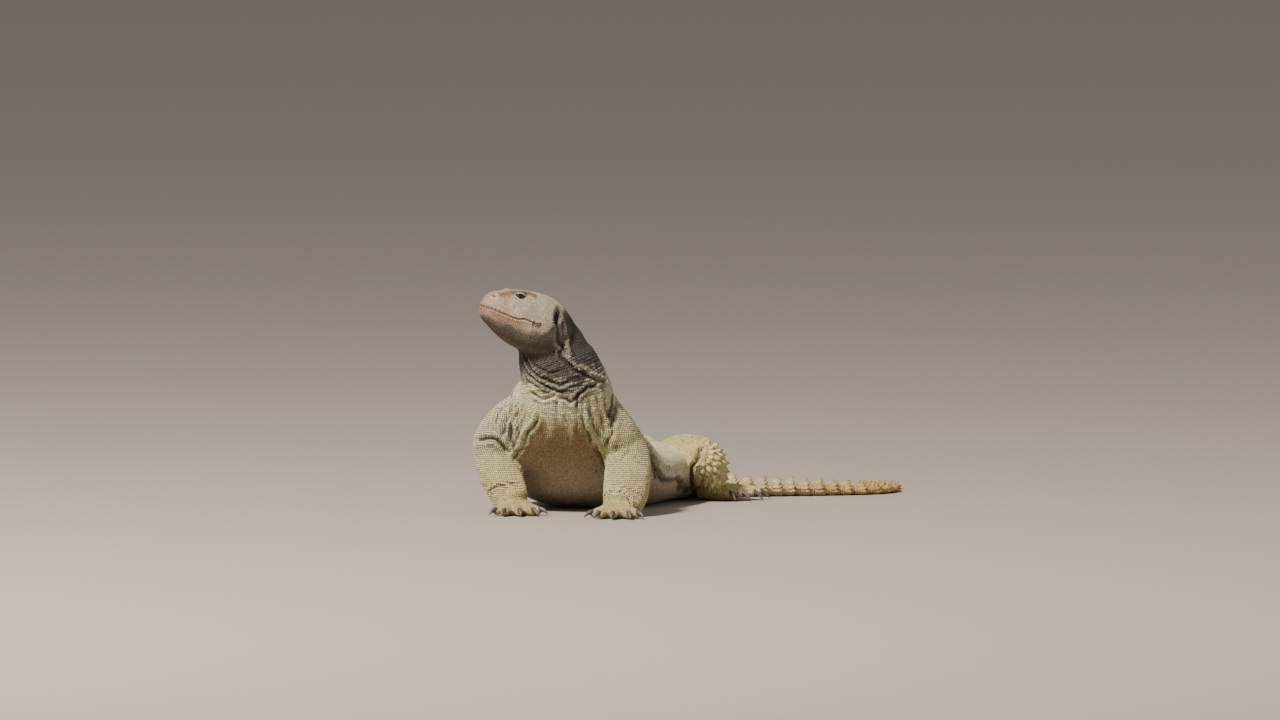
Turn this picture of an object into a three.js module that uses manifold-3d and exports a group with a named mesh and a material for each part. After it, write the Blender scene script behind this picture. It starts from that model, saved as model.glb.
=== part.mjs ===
// A life-size spiny-tailed lizard (uromastyx), resting on its belly with its chest propped on straight
// forelegs, its head turned to its own right and its tail laid out to its left. Millimetres, +Z up,
// floor at Z 0. The animal faces -Y, so its left side is +X.

import * as THREE from "three";
import { mergeVertices } from "three/addons/utils/BufferGeometryUtils.js";
import Module from "manifold-3d";

const wasm = await Module();
wasm.setup();
const { Matrix4, Vector3, MathUtils } = THREE;

// Driving dimensions
const GAP = 0.3; // between two nodes that touch
const EYE_RADIUS = 4.9;
const LID_THICKNESS = 1.3;
const EYE_SLIT = { length: 8.8, height: 4.6 };
const EAR_CUP = { forward: 2.6, deep: 4.2, high: 6.6 };
const LIP_RADIUS = 1.3;
const BROW_RADIUS = 1.9;
const TAIL_WHORLS = 21;
const TAIL_SPINE = { length: 8.4, wide: 2.6, thick: 3.2 }; // at the tail's base
const LEG_SPINE = { length: 4, wide: 2.6, thick: 2.4 };
const NECK_KNOB = { length: 4.6, wide: 2.8, thick: 2.6 };
const SPINE_ROOT = 0.3; // share of a spine's length that is sunk in
const NECK_RIDGE_RADIUS = 2;
const BELLY_FLAT = { x: 4, y: 126 }; // middle of the belly's flat, in the frame of the rows below

// The rows below give a centre x, y, z, a half width, the depths above and below the centre,
// and how far the upper side leans towards +Y, in degrees.

// Neck, chest, belly and hips, from inside the head to the tail base
const TRUNK = [
  [-41, -5, 151, 19, 17, 17, 85],
  [-38.5, -3, 140, 25, 22, 22, 84],
  [-36, -3, 128, 29, 22, 23, 78],
  [-31.5, -3, 115, 33, 24, 23, 68],
  [-29, 1, 101, 38.5, 27, 24, 58],
  [-29, 10, 86, 44, 31, 27, 48],
  [-28, 26, 70, 50, 32, 32, 36],
  [-25, 48, 55, 56, 30, 36, 24],
  [-19, 74, 43, 62, 28, 39, 10],
  [-9, 102, 33, 66, 23, 36, 0],
  [6, 130, 30, 64, 20.5, 34, 0],
  [24, 157, 29, 54, 19, 32, 0],
  [43, 181, 27, 42, 19, 29, 0],
  [60, 199, 23, 32, 18, 25, 0],
  [73, 210, 19, 24, 15, 20, 0],
];
const NECK_PART = 4.2; // places along TRUNK, counted in rows, where its lengths are parted
const CHEST_PART = 8;
const HIP_PART = 11.2;

// Head from the nape to the snout, in its own frame: x forward from the ears, y left, z up
const SKULL = [
  [-18, 0, -2, 14, 11, 14, 0],
  [-10, 0, -3, 22, 18, 20, 0],
  [0, 0, -4, 25.5, 23.3, 22, 0],
  [12, 0, -4, 25.2, 24.7, 23, 0],
  [24, 0, -3.5, 23.3, 24, 21, 0],
  [34, 0, -2.5, 20.3, 21.5, 17.5, 0],
  [43, 0, -1, 17, 18.5, 13.5, 0],
  [49.5, 0, 0.5, 13.4, 14.5, 11, 0],
  [53.5, 0, 1.5, 9.2, 10, 8.6, 0],
  [55.8, 0, 2, 4.8, 5.5, 5, 0],
];
// Places on the left of the head, in its frame
const EYE = [31.8, 12, 14.4];
const NOSTRIL = [49.6, 10, 9.2];
const NOSTRIL_HOLE = [50.8, 12.6, 10];
const EAR = [0.8, 25.2, 3.8];
const BROW = [[21, 15.2], [26, 17.2], [32, 17.8], [38, 15.6], [43, 12.2]]; // forward and up
const MOUTH = [[57.5, 0.5], [49, -0.8], [40, -2.8], [32, -4], [26, -1.8], [17, -4.2]]; // forward and up
const SKULL_SQUARE = 2.6; // how square its sections are, where 2 is an ellipse
const HEAD = { x: -42, y: -8, z: 154.2, yaw: 200, pitch: 14 };

// The ridge from behind each ear to the shoulder: places on the skull and the trunk, with degrees round them
const NECK_RIDGE = {
  left: {
    skull: [[1.35, 150], [1, 178]],
    trunk: [[1.6, 302], [2.3, 299], [2.8, 308], [3.4, 330], [3.95, 350]],
  },
  right: { skull: [[1.35, 30], [1, 2]], trunk: [[1.6, 122], [2.4, 135], [3.1, 150], [3.8, 166]] },
};

// Tail between its whorls, from inside the hips to the tip
const TAIL = [
  [60, 202, 17, 19, 10, 16, 0],
  [84, 216, 9, 19.5, 6.5, 10.5, 0],
  [112, 223, 7.3, 17.8, 5.5, 8.4, 0],
  [148, 229, 6.1, 15.2, 4.7, 7.2, 0],
  [184, 235, 4.8, 12.8, 4, 6, 0],
  [216, 245, 3.9, 10.8, 3.4, 5.2, 0],
  [233, 268, 3.4, 8.6, 2.9, 4.6, 0],
  [232, 296, 3, 6.4, 2.4, 4, 0],
  [222, 320, 2.7, 4, 1.9, 3.2, 0],
  [213, 335, 2.1, 2.2, 1.4, 2.4, 0],
];
const TAIL_ROOT = 1; // row where the whorls start
const TAIL_PARTS = [6, 11, 16, TAIL_WHORLS]; // whorls up to which each length of the tail reaches

// Left and right foreleg from inside the shoulder to the wrist
const FORELEG = {
  left: [
    [-8, 12, 86, 15, 15, 15, 90],
    [2, 10, 78, 17, 17, 16, 90],
    [11.5, 12, 66, 17.5, 18, 16.5, 90],
    [18.5, 16, 54, 17.5, 18, 16.5, 90],
    [22.5, 11, 42, 17.8, 16.5, 15.5, 90],
    [22, 0, 30, 18.2, 14.5, 14.5, 90],
    [20.5, -11, 18, 17.6, 13, 13, 90],
    [18, -22, 9, 15, 11, 11, 70],
  ],
  right: [
    [-50, 22, 86, 15, 15, 15, 90],
    [-63, 24, 79, 16.5, 17, 16, 90],
    [-75, 30, 68.5, 17, 18, 16, 90],
    [-82.5, 37, 56, 17.5, 18, 16, 90],
    [-82.5, 36, 44, 17, 16.5, 15, 90],
    [-79, 29, 32, 17, 14.5, 14, 90],
    [-74.5, 21, 21, 15.5, 12.5, 12.5, 90],
    [-70, 11, 11, 14, 10, 10, 70],
  ],
};
const ELBOW_ROW = 3.4;

// Left hind leg; the right one is its mirror image across the hips
const THIGH = [
  [52, 186, 27, 17, 18, 18, 0],
  [66, 171, 32, 21, 21, 22, 0],
  [77, 158, 34, 19.5, 19, 20, 0],
  [84, 149, 35, 15.5, 15, 15.5, 0],
];
const SHIN = [
  [84, 146, 35, 13, 13, 13, 0],
  [88, 154, 29, 13.5, 14.5, 14.5, 0],
  [90, 166, 20, 11.5, 12, 12, 0],
  [89, 178, 11, 9.5, 8.5, 9.5, 0],
];
const HIPS = { x: 53, y: 195, yaw: 37.4 };

// A foot: heading of the palm in degrees from +X, how high its toes arch, and each toe's turn and length
const FEET = {
  hand_left: {
    x: 15, y: -24, heading: 256, palm: 1, arch: 0,
    turns: [52, 28, 4, -18, -42], lengths: [12, 17, 19, 18, 13],
  },
  hand_right: {
    x: -68, y: 9, heading: 284, palm: 0.95, arch: 0,
    turns: [-52, -28, -4, 18, 42], lengths: [12, 17, 19, 18, 13],
  },
  foot_left: {
    x: 91, y: 178, heading: 350, palm: 0.95, arch: 3.8,
    turns: [-44, -22, -4, 12, 48], lengths: [12, 19, 25, 29, 17],
  },
};

// Palm or sole from the wrist forward, and a claw by its distance past the toe, height and radius
const PALM = [
  [-10, 0, 10, 11, 8, 9, 0],
  [0, 0, 8, 13, 7, 9, 0],
  [9, 0, 6.5, 13.5, 5.5, 7.5, 0],
  [15, 0, 5, 11, 4, 6, 0],
];
const CLAW = [[1, 4.6, 2.4], [5, 5.1, 2.1], [8.5, 3.9, 1.4], [11, 1.5, 0.5]];
const TOE = [[0, 6, 4.6], [0.5, 5.4, 4.5], [1, 3.7, 3.9]]; // share of its length, height and radius

const COLOURS = {
  hide: 0xc9bd83,
  belly: 0xa98a5c,
  neck: 0x4d4a41,
  face: 0xcdb391,
  tail: 0xcda761,
  claw: 0x5d5150,
  eye: 0x21150e,
  ear: 0x2c241e,
};

// Solids and cuts

function closedSolid(points, triangles) {
  const geometry = new THREE.BufferGeometry();
  geometry.setAttribute("position", new THREE.Float32BufferAttribute(points, 3));
  geometry.setIndex(triangles);
  return solidOf(geometry);
}

function solidOf(source) {
  const geometry = source.clone();
  geometry.deleteAttribute("normal");
  geometry.deleteAttribute("uv");
  const merged = mergeVertices(geometry, 1e-4);
  return new wasm.Manifold(new wasm.Mesh({
    numProp: 3,
    vertProperties: new Float32Array(merged.attributes.position.array),
    triVerts: new Uint32Array(merged.index.array),
  }));
}

function largestPiece(solid) {
  const pieces = solid.decompose();
  return pieces.reduce((best, piece) => (piece.volume() > best.volume() ? piece : best));
}

const group = new THREE.Group();

function addNode(name, solid, colour, roughness = 0.75) {
  const mesh = largestPiece(solid.trimByPlane([0, 0, 1], 0)).getMesh();
  const geometry = new THREE.BufferGeometry();
  geometry.setAttribute("position", new THREE.Float32BufferAttribute(mesh.vertProperties, 3));
  geometry.setIndex(Array.from(mesh.triVerts));
  const material = new THREE.MeshStandardMaterial({ color: colour, roughness, metalness: 0 });
  const node = new THREE.Mesh(geometry, material);
  node.name = name;
  group.add(node);
}

// Rows and the lofts that pass through them

function rowAt(rows, place) {
  const first = MathUtils.clamp(Math.floor(place), 0, rows.length - 2);
  const share = place - first;
  const row = (offset) => rows[MathUtils.clamp(first + offset, 0, rows.length - 1)];
  const [before, start, end, after] = [-1, 0, 1, 2].map(row);
  return start.map((value, column) => {
    const slope = end[column] - before[column];
    const curve = 2 * before[column] - 5 * value + 4 * end[column] - after[column];
    const twist = 3 * (value - end[column]) + after[column] - before[column];
    return value + 0.5 * share * (slope + share * (curve + share * twist));
  });
}

function sectionAt(rows, place) {
  const [x, y, z, wide, up, down, lean] = rowAt(rows, place);
  const ahead = new Vector3(...rowAt(rows, Math.min(place + 0.05, rows.length - 1)));
  const along = ahead.sub(new Vector3(...rowAt(rows, Math.max(place - 0.05, 0)))).normalize();
  const angle = MathUtils.degToRad(lean);
  const upward = new Vector3(0, Math.sin(angle), Math.cos(angle));
  const side = new Vector3().crossVectors(along, upward).normalize();
  const top = new Vector3().crossVectors(side, along);
  return { centre: new Vector3(x, y, z), along, side, top, wide, up, down };
}

// A point of a section's rim: angle 0 is its side, 90 degrees its top
function rimPoint(section, angle, { grow = 0, share = 1, shift = 0, square = 2.3 } = {}) {
  const corner = (value) => Math.sign(value) * Math.abs(value) ** (2 / square);
  const across = corner(Math.cos(angle)) * (section.wide + grow) * share;
  const depth = Math.sin(angle) > 0 ? section.up : section.down;
  const high = corner(Math.sin(angle)) * (depth + grow) * share;
  return section.centre.clone()
    .addScaledVector(section.side, across)
    .addScaledVector(section.top, high)
    .addScaledVector(section.along, shift);
}

// A closed solid through the rows, with a dome of the given length at each end
function loft(rows, { sides, steps, domes, domeAngles = [30, 60], ...rim }) {
  const last = rows.length - 1;
  const rings = [];
  const domeSteps = domeAngles.map(MathUtils.degToRad);
  const [startDome, endDome] = domes.map((length) => length + (rim.grow ?? 0));
  for (const angle of domeSteps) {
    rings.push({ place: 0, share: Math.sin(angle), shift: -Math.cos(angle) * startDome });
  }
  for (let index = 0; index <= steps; index++) {
    rings.push({ place: (last * index) / steps, share: 1, shift: 0 });
  }
  for (const angle of domeSteps.toReversed()) {
    rings.push({ place: last, share: Math.sin(angle), shift: Math.cos(angle) * endDome });
  }
  const points = [];
  for (const { place, share, shift } of rings) {
    const section = sectionAt(rows, place);
    for (let side = 0; side < sides; side++) {
      const angle = ((side + 0.5) / sides) * 2 * Math.PI;
      points.push(...rimPoint(section, angle, { ...rim, share, shift }).toArray());
    }
  }
  const startTip = sectionAt(rows, 0);
  const endTip = sectionAt(rows, last);
  points.push(...startTip.centre.addScaledVector(startTip.along, -startDome).toArray());
  points.push(...endTip.centre.addScaledVector(endTip.along, endDome).toArray());
  return closedSolid(points, ringTriangles(rings.length, sides));
}

// Triangles of stacked rings whose last two points are the tips at either end
function ringTriangles(rings, sides) {
  const triangles = [];
  const tip = rings * sides;
  for (let side = 0; side < sides; side++) {
    const next = (side + 1) % sides;
    triangles.push(tip, side, next);
    triangles.push(tip + 1, (rings - 1) * sides + next, (rings - 1) * sides + side);
    for (let ring = 0; ring < rings - 1; ring++) {
      const near = ring * sides;
      const far = near + sides;
      triangles.push(near + side, far + side, near + next);
      triangles.push(near + next, far + side, far + next);
    }
  }
  return triangles;
}

// A point of a loft's surface in degrees round it, with the way out of it there
function surfaceAt(rows, [place, degrees], frame = new Matrix4()) {
  const angle = MathUtils.degToRad(degrees);
  const section = sectionAt(rows, place);
  const depth = Math.sin(angle) > 0 ? section.up : section.down;
  const normal = section.side.clone().multiplyScalar(Math.cos(angle) / section.wide)
    .addScaledVector(section.top, Math.sin(angle) / depth);
  return {
    point: rimPoint(section, angle).applyMatrix4(frame),
    normal: normal.transformDirection(frame),
    along: section.along.transformDirection(frame),
  };
}

// A three-sided spine with its keel on top, tapered to its tip
function spine(root, direction, upward, { length, wide, thick }) {
  const along = direction.clone().normalize();
  const side = new Vector3().crossVectors(along, upward).normalize();
  const top = new Vector3().crossVectors(side, along);
  const at = (distance, across = 0, high = 0) => root.clone()
    .addScaledVector(along, distance * length)
    .addScaledVector(side, across)
    .addScaledVector(top, high)
    .toArray();
  const corners = [[wide, -thick / 2], [0, thick], [-wide, -thick / 2]];
  const rootRing = corners.flatMap((corner) => at(-SPINE_ROOT, ...corner));
  return closedSolid([...rootRing, ...at(-SPINE_ROOT - 0.05), ...at(1)], ringTriangles(1, 3));
}

// A round rim along a line of points
function beading(points, radius, steps) {
  const path = new THREE.CatmullRomCurve3(points);
  const round = new THREE.Shape().absarc(0, 0, radius, 0, 2 * Math.PI);
  return solidOf(new THREE.ExtrudeGeometry(round, { steps, extrudePath: path, curveSegments: 3 }));
}

// The same draws on every run
let seed = 20;
function random() {
  seed = (seed * 16807) % 2147483647;
  return seed / 2147483647;
}

// A plane across a loft, and the part of a solid on one side of it, half a gap clear
function planeAt(rows, place) {
  const { centre, along } = sectionAt(rows, place);
  return { normal: along, offset: centre.dot(along) };
}

function inFront(solid, { normal, offset }) {
  return solid.trimByPlane(normal.clone().negate().toArray(), -offset + GAP / 2);
}

function behind(solid, { normal, offset }) {
  return solid.trimByPlane(normal.toArray(), offset + GAP / 2);
}

// The head

const yaw = MathUtils.degToRad(HEAD.yaw);
const pitch = MathUtils.degToRad(HEAD.pitch);
const forward = new Vector3(Math.cos(yaw), Math.sin(yaw), Math.tan(pitch)).normalize();
const leftward = new Vector3(-Math.sin(yaw), Math.cos(yaw), 0);
const headFrame = new Matrix4()
  .makeBasis(forward, leftward, new Vector3().crossVectors(forward, leftward))
  .setPosition(HEAD.x, HEAD.y, HEAD.z);

function placed(geometry, position, { turn = [0, 0, 0], size = [1, 1, 1] } = {}) {
  const rotation = new THREE.Quaternion().setFromEuler(new THREE.Euler(...turn));
  const matrix = new Matrix4().compose(new Vector3(...position), rotation, new Vector3(...size));
  return solidOf(geometry.clone().applyMatrix4(matrix.premultiply(headFrame)));
}

const ball = new THREE.SphereGeometry(1, 10, 7);
const smallBall = new THREE.SphereGeometry(1, 8, 6);
const mirrored = ([x, y, z], side) => [x, y * side, z];

// The slit between the lids: an almond seen along the eye's outward axis
function eyeSlit(side) {
  const half = EYE_SLIT.length / 2;
  const almond = new THREE.Shape();
  almond.moveTo(-half, 0);
  almond.quadraticCurveTo(0, EYE_SLIT.height * 0.9, half, 0);
  almond.quadraticCurveTo(0, -EYE_SLIT.height * 1.1, -half, 0);
  const depth = 3 * EYE_RADIUS;
  const prism = new THREE.ExtrudeGeometry(almond, { depth, bevelEnabled: false, curveSegments: 5 });
  return placed(prism, mirrored(EYE, side), { turn: [-side * Math.PI * 0.47, 0, side * 0.06] });
}

function mouthPrism(lift) {
  const line = [[90, 1], ...MOUTH, [-40, -16]];
  const below = new THREE.Shape();
  below.moveTo(90, -90);
  line.forEach(([x, z]) => below.lineTo(x, z + lift));
  below.lineTo(-40, -90);
  const prism = new THREE.ExtrudeGeometry(below, { depth: 120, bevelEnabled: false });
  return placed(prism, [0, 60, 0], { turn: [Math.PI / 2, 0, 0] });
}

// Half width of the skull at a place forward and up, read from its rows
function skullSide(x, z) {
  let place = 0;
  while (place < SKULL.length - 1 && rowAt(SKULL, place)[0] < x) {
    place += 0.02;
  }
  const [, , middle, wide, up, down] = rowAt(SKULL, place);
  const share = Math.min(1, Math.abs(z - middle) / (z > middle ? up : down));
  return wide * (1 - share ** SKULL_SQUARE) ** (1 / SKULL_SQUARE);
}

// Points on a side of the skull, given forward and up; both ends dip in by a rim's radius
function skullLine(line, side, radius) {
  return line.map(([x, z], index) => {
    const sunk = index % (line.length - 1) ? 0.3 : 1.1 * radius;
    return new Vector3(x, side * (skullSide(x, z) - sunk), z).applyMatrix4(headFrame);
  });
}

// A low rim along the whole mouth line, which the mouth's cut divides into two lips
function lips() {
  const [tipX, tipZ] = MOUTH[0];
  const tip = new Vector3(tipX - 0.6, 0, tipZ).applyMatrix4(headFrame);
  const [left, right] = [1, -1].map((side) => skullLine(MOUTH, side, LIP_RADIUS).slice(1));
  return beading([...left.toReversed(), tip, ...right], LIP_RADIUS, 16);
}

// Scales that stand over the front edge of the ear
function earTeeth(side) {
  let teeth;
  for (const height of [-3.6, 0, 3.6]) {
    const root = new Vector3(EAR[0] + 2.9, (EAR[1] - 0.6) * side, EAR[2] + height).applyMatrix4(headFrame);
    const back = forward.clone().multiplyScalar(-0.85).addScaledVector(leftward, 0.5 * side);
    const tooth = spine(root, back, leftward, { length: 3.8, wide: 1.7, thick: 1.4 });
    teeth = teeth ? teeth.add(tooth) : tooth;
  }
  return teeth;
}

// The knobbed ridge down a side of the neck
function neckRidge(sideName) {
  const { skull: upper, trunk: lower } = NECK_RIDGE[sideName];
  const places = [
    ...upper.map((place) => surfaceAt(SKULL, place, headFrame)),
    ...lower.map((place) => surfaceAt(TRUNK, place)),
  ];
  const line = places.map(({ point, normal }) => point.addScaledVector(normal, -0.5));
  let ridge = beading(line, NECK_RIDGE_RADIUS, 7);
  for (const { point, normal, along } of places.slice(2)) {
    ridge = ridge.add(spine(point, normal, along, NECK_KNOB));
  }
  return ridge;
}

const trunkShape = { sides: 22, steps: 26, domes: [8, 8] };
const trunk = loft(TRUNK, trunkShape);
const trunkClear = loft(TRUNK, { ...trunkShape, grow: GAP });
const skullShape = { sides: 20, steps: 14, domes: [4, 1.2], square: SKULL_SQUARE };
const skull = loft(SKULL, skullShape).transform(headFrame.elements);
let flesh = trunk.add(skull).add(lips());
for (const side of [1, -1]) {
  const sideName = side > 0 ? "left" : "right";
  const lid = EYE_RADIUS + LID_THICKNESS;
  const socket = EYE_RADIUS + GAP;
  flesh = flesh
    .add(placed(ball, mirrored(EYE, side), { size: [lid, lid, lid] }))
    .add(beading(skullLine(BROW, side, BROW_RADIUS), BROW_RADIUS, 6))
    .add(placed(smallBall, mirrored(NOSTRIL, side), { size: [3.4, 3, 3] }))
    .add(neckRidge(sideName))
    .add(earTeeth(side))
    .subtract(placed(ball, mirrored(EYE, side), { size: [socket, socket, socket] }))
    .subtract(eyeSlit(side))
    .subtract(placed(smallBall, mirrored(NOSTRIL_HOLE, side), { size: [1.4, 2.2, 1.2] }))
    .subtract(placed(ball, mirrored(EAR, side), { size: [EAR_CUP.forward, EAR_CUP.deep, EAR_CUP.high] }));
  const eye = placed(ball, mirrored(EYE, side), { size: [EYE_RADIUS, EYE_RADIUS, EYE_RADIUS] });
  addNode(`eye_${sideName}`, eye, COLOURS.eye, 0.1);
  const cup = placed(ball, mirrored(EAR, side), {
    size: [EAR_CUP.forward - GAP, EAR_CUP.deep - GAP, EAR_CUP.high - GAP],
  });
  const drumPlane = leftward.clone().multiplyScalar(-side);
  const drumDepth = new Vector3(EAR[0], (EAR[1] - 2.2) * side, EAR[2]).applyMatrix4(headFrame).dot(drumPlane);
  addNode(`ear_${sideName}`, cup.trimByPlane(drumPlane.toArray(), drumDepth), COLOURS.ear, 0.5);
}

const nape = new Vector3(-9, 0, 14).applyMatrix4(headFrame);
const throat = new Vector3(18, 0, -28).applyMatrix4(headFrame);
const jawLine = throat.clone().sub(nape);
const headNormal = new Vector3().crossVectors(leftward, jawLine).normalize();
const headPlane = { normal: headNormal, offset: headNormal.dot(nape) };
const headFlesh = inFront(flesh, headPlane);
addNode("head", headFlesh.subtract(mouthPrism(GAP / 2)), COLOURS.face);
addNode("jaw", headFlesh.intersect(mouthPrism(-GAP / 2)), COLOURS.face);

// The neck and the three lengths of the body

const bodyFlesh = behind(flesh, headPlane);
const parts = [NECK_PART, CHEST_PART, HIP_PART].map((place) => planeAt(TRUNK, place));
addNode("neck", inFront(bodyFlesh, parts[0]), COLOURS.neck);
addNode("chest", inFront(behind(bodyFlesh, parts[0]), parts[1]), COLOURS.hide);
addNode("abdomen", inFront(behind(bodyFlesh, parts[1]), parts[2]), COLOURS.belly);
addNode("pelvis", behind(bodyFlesh, parts[2]), COLOURS.hide);

// The tail

// Distance along the tail from its root, with the place among its rows
const tailSteps = [];
for (let place = TAIL_ROOT, distance = 0; place <= TAIL.length - 1; place += 0.02) {
  const point = new Vector3(...rowAt(TAIL, place));
  distance += tailSteps.length ? point.distanceTo(tailSteps.at(-1).point) : 0;
  tailSteps.push({ place, distance, point });
}

// Place where a whorl starts; they get shorter by a sixth towards the tip
function whorlPlace(whorl) {
  const share = whorl / TAIL_WHORLS;
  const distance = tailSteps.at(-1).distance * share * (1.09 - 0.09 * share);
  return tailSteps.find((step) => step.distance >= distance - 1e-6)?.place ?? TAIL.length - 1;
}

// A whorl is narrow at its front and widest at its rear edge
const [rootRow] = TAIL;
const whorlRows = [rootRow];
for (let whorl = 0; whorl < TAIL_WHORLS; whorl++) {
  for (const [part, share] of [[0.06, 0.95], [0.94, 1.06]]) {
    const place = MathUtils.lerp(whorlPlace(whorl), whorlPlace(whorl + 1), part);
    const [x, y, z, wide, up, down, lean] = rowAt(TAIL, place);
    whorlRows.push([x, y, z, wide * share, up * share, down * share, lean]);
  }
}
const whorlShape = { sides: 12, steps: whorlRows.length - 1, domes: [6, 2], domeAngles: [45] };

function whorlSpines(solid, whorl) {
  const place = MathUtils.lerp(whorlPlace(whorl), whorlPlace(whorl + 1), 0.8);
  const size = 1 - 0.45 * (whorl / TAIL_WHORLS);
  const count = whorl < 9 ? 7 : 5;
  for (let index = 0; index < count; index++) {
    const degrees = -4 + (188 * index) / (count - 1);
    const { point, normal, along } = surfaceAt(TAIL, [place, degrees]);
    const vary = 0.9 + 0.2 * random();
    const lean = along.addScaledVector(normal, 1.3 + 0.4 * random());
    solid = solid.add(spine(point, lean, normal, {
      length: TAIL_SPINE.length * size * vary,
      wide: TAIL_SPINE.wide * size,
      thick: TAIL_SPINE.thick * size,
    }));
  }
  return solid;
}

const bareTail = loft(whorlRows, whorlShape).subtract(trunkClear);
const tailClear = loft(whorlRows, { ...whorlShape, grow: GAP });
TAIL_PARTS.forEach((lastWhorl, index) => {
  const firstWhorl = TAIL_PARTS[index - 1] ?? 0;
  let length = bareTail;
  if (index > 0) {
    length = behind(length, planeAt(TAIL, whorlPlace(firstWhorl)));
  }
  if (lastWhorl < TAIL_WHORLS) {
    length = inFront(length, planeAt(TAIL, whorlPlace(lastWhorl)));
  }
  for (let whorl = firstWhorl; whorl < lastWhorl; whorl++) {
    length = whorlSpines(length, whorl);
  }
  if (lastWhorl < TAIL_WHORLS) {
    const { normal, offset } = planeAt(TAIL, whorlPlace(lastWhorl));
    length = length.subtract(tailClear.trimByPlane(normal.toArray(), offset - GAP / 2));
  }
  addNode(`tail_${index + 1}`, length.subtract(trunkClear), COLOURS.tail);
});

// The legs

function mirrorRows(rows) {
  const across = MathUtils.degToRad(-HIPS.yaw);
  const normal = new Vector3(Math.cos(across), Math.sin(across), 0);
  return rows.map(([x, y, ...others]) => {
    const distance = (x - HIPS.x) * normal.x + (y - HIPS.y) * normal.y;
    return [x - 2 * distance * normal.x, y - 2 * distance * normal.y, ...others];
  });
}

// Rows of a toe or claw that points along an angle from its root: distance, height and radius of each
function toeRows(root, angle, rows) {
  return rows.map(([distance, z, radius]) => [
    root.x + Math.cos(angle) * distance,
    root.y + Math.sin(angle) * distance,
    z, radius, radius, radius, 0,
  ]);
}

// Staggered rows of large pointed scales on the outer side of a leg, by places and degrees round its rows
function legSpines(solid, rows, side, { places, around, size }) {
  places.forEach((place, row) => {
    const stagger = row % 2 ? 9 : -9;
    for (const degrees of around) {
      const turned = side === "left" ? degrees + stagger : 180 - degrees - stagger;
      const { point, normal, along } = surfaceAt(rows, [place, turned]);
      const vary = size * (0.85 + 0.3 * random());
      solid = solid.add(spine(point, along.multiplyScalar(0.55).add(normal), normal.clone().cross(along), {
        length: LEG_SPINE.length * vary,
        wide: LEG_SPINE.wide * vary,
        thick: LEG_SPINE.thick * vary,
      }));
    }
  });
  return solid;
}

function addFoot(name, { x, y, heading, palm, turns, lengths, arch }, limb) {
  const toWorld = new Matrix4().makeRotationZ(MathUtils.degToRad(heading)).setPosition(x, y, 0).elements;
  const pad = PALM.map((row) => row.map((value) => value * palm));
  const toeShape = { sides: 5, steps: 2, domes: [2, 3], domeAngles: [50], square: 2 };
  const clawShape = { sides: 5, steps: 3, domes: [1, 0.5], domeAngles: [], square: 2 };
  let foot = loft(pad, { sides: 10, steps: 3, domes: [4, 3], domeAngles: [45] });
  const claws = turns.map((turn, index) => {
    const angle = MathUtils.degToRad(turn);
    const length = lengths[index];
    const root = { x: 7 * palm, y: Math.sin(angle) * 11 * palm };
    const toe = toeRows(root, angle, TOE.map(([share, z, radius]) => [
      share * length, z + arch * Math.sin(2.4 * share), radius,
    ]));
    const claw = toeRows(root, angle, CLAW.map(([distance, z, radius], row) => [
      length + distance, z + arch * [0.55, 0.4, 0.15, 0][row], radius,
    ]));
    foot = foot.add(loft(toe, toeShape));
    return loft(claw, clawShape).subtract(loft(toe, { ...toeShape, grow: GAP })).transform(toWorld);
  });
  addNode(name, foot.transform(toWorld).subtract(limb).subtract(trunkClear), COLOURS.hide);
  claws.forEach((claw, index) => addNode(`claw_${name}_${index + 1}`, claw, COLOURS.claw, 0.4));
}

for (const side of ["left", "right"]) {
  const rows = FORELEG[side];
  const forelegShape = { sides: 14, steps: 13, domes: [6, 6], domeAngles: [45] };
  const foreleg = loft(rows, forelegShape).subtract(trunkClear);
  const elbow = planeAt(rows, ELBOW_ROW);
  addNode(`upper_arm_${side}`, inFront(foreleg, elbow), COLOURS.hide);
  addNode(`forearm_${side}`, behind(foreleg, elbow), COLOURS.hide);
  const clear = loft(rows, { ...forelegShape, grow: GAP });
  addFoot(`hand_${side}`, FEET[`hand_${side}`], clear);

  const mirror = side === "left" ? (list) => list : mirrorRows;
  const thighShape = { sides: 16, steps: 7, domes: [6, 12] };
  const shinShape = { sides: 12, steps: 5, domes: [9, 5] };
  const bareThigh = loft(mirror(THIGH), thighShape);
  const thighSpines = { places: [2.3, 2.8], around: [10, 50, 90], size: 0.75 };
  const thigh = legSpines(bareThigh, mirror(THIGH), side, thighSpines).subtract(trunkClear);
  const thighClear = loft(mirror(THIGH), { ...thighShape, grow: GAP });
  const bareShin = loft(mirror(SHIN), shinShape);
  const shinSpines = { places: [0.6, 1, 1.4, 1.8], around: [-58, -20, 18, 56], size: 1 };
  const shin = legSpines(bareShin, mirror(SHIN), side, shinSpines);
  const shinClear = loft(mirror(SHIN), { ...shinShape, grow: GAP });
  addNode(`thigh_${side}`, thigh, COLOURS.hide);
  addNode(`shin_${side}`, shin.subtract(thighClear).subtract(trunkClear), COLOURS.hide);
  const left = FEET.foot_left;
  const [[x, y]] = mirror([[left.x, left.y]]);
  const heading = side === "left" ? left.heading : 2 * (HIPS.yaw * -1 + 90) - left.heading;
  const turns = side === "left" ? left.turns : left.turns.map((turn) => -turn);
  addFoot(`foot_${side}`, { ...left, x, y, heading, turns }, shinClear.add(thighClear));
}

// The origin is the middle of the belly's flat on the floor
group.position.set(-BELLY_FLAT.x, -BELLY_FLAT.y, 0);

export default group;
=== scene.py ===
import math

import bpy
import numpy as np
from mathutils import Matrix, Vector
from mathutils.bvhtree import BVHTree


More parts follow.
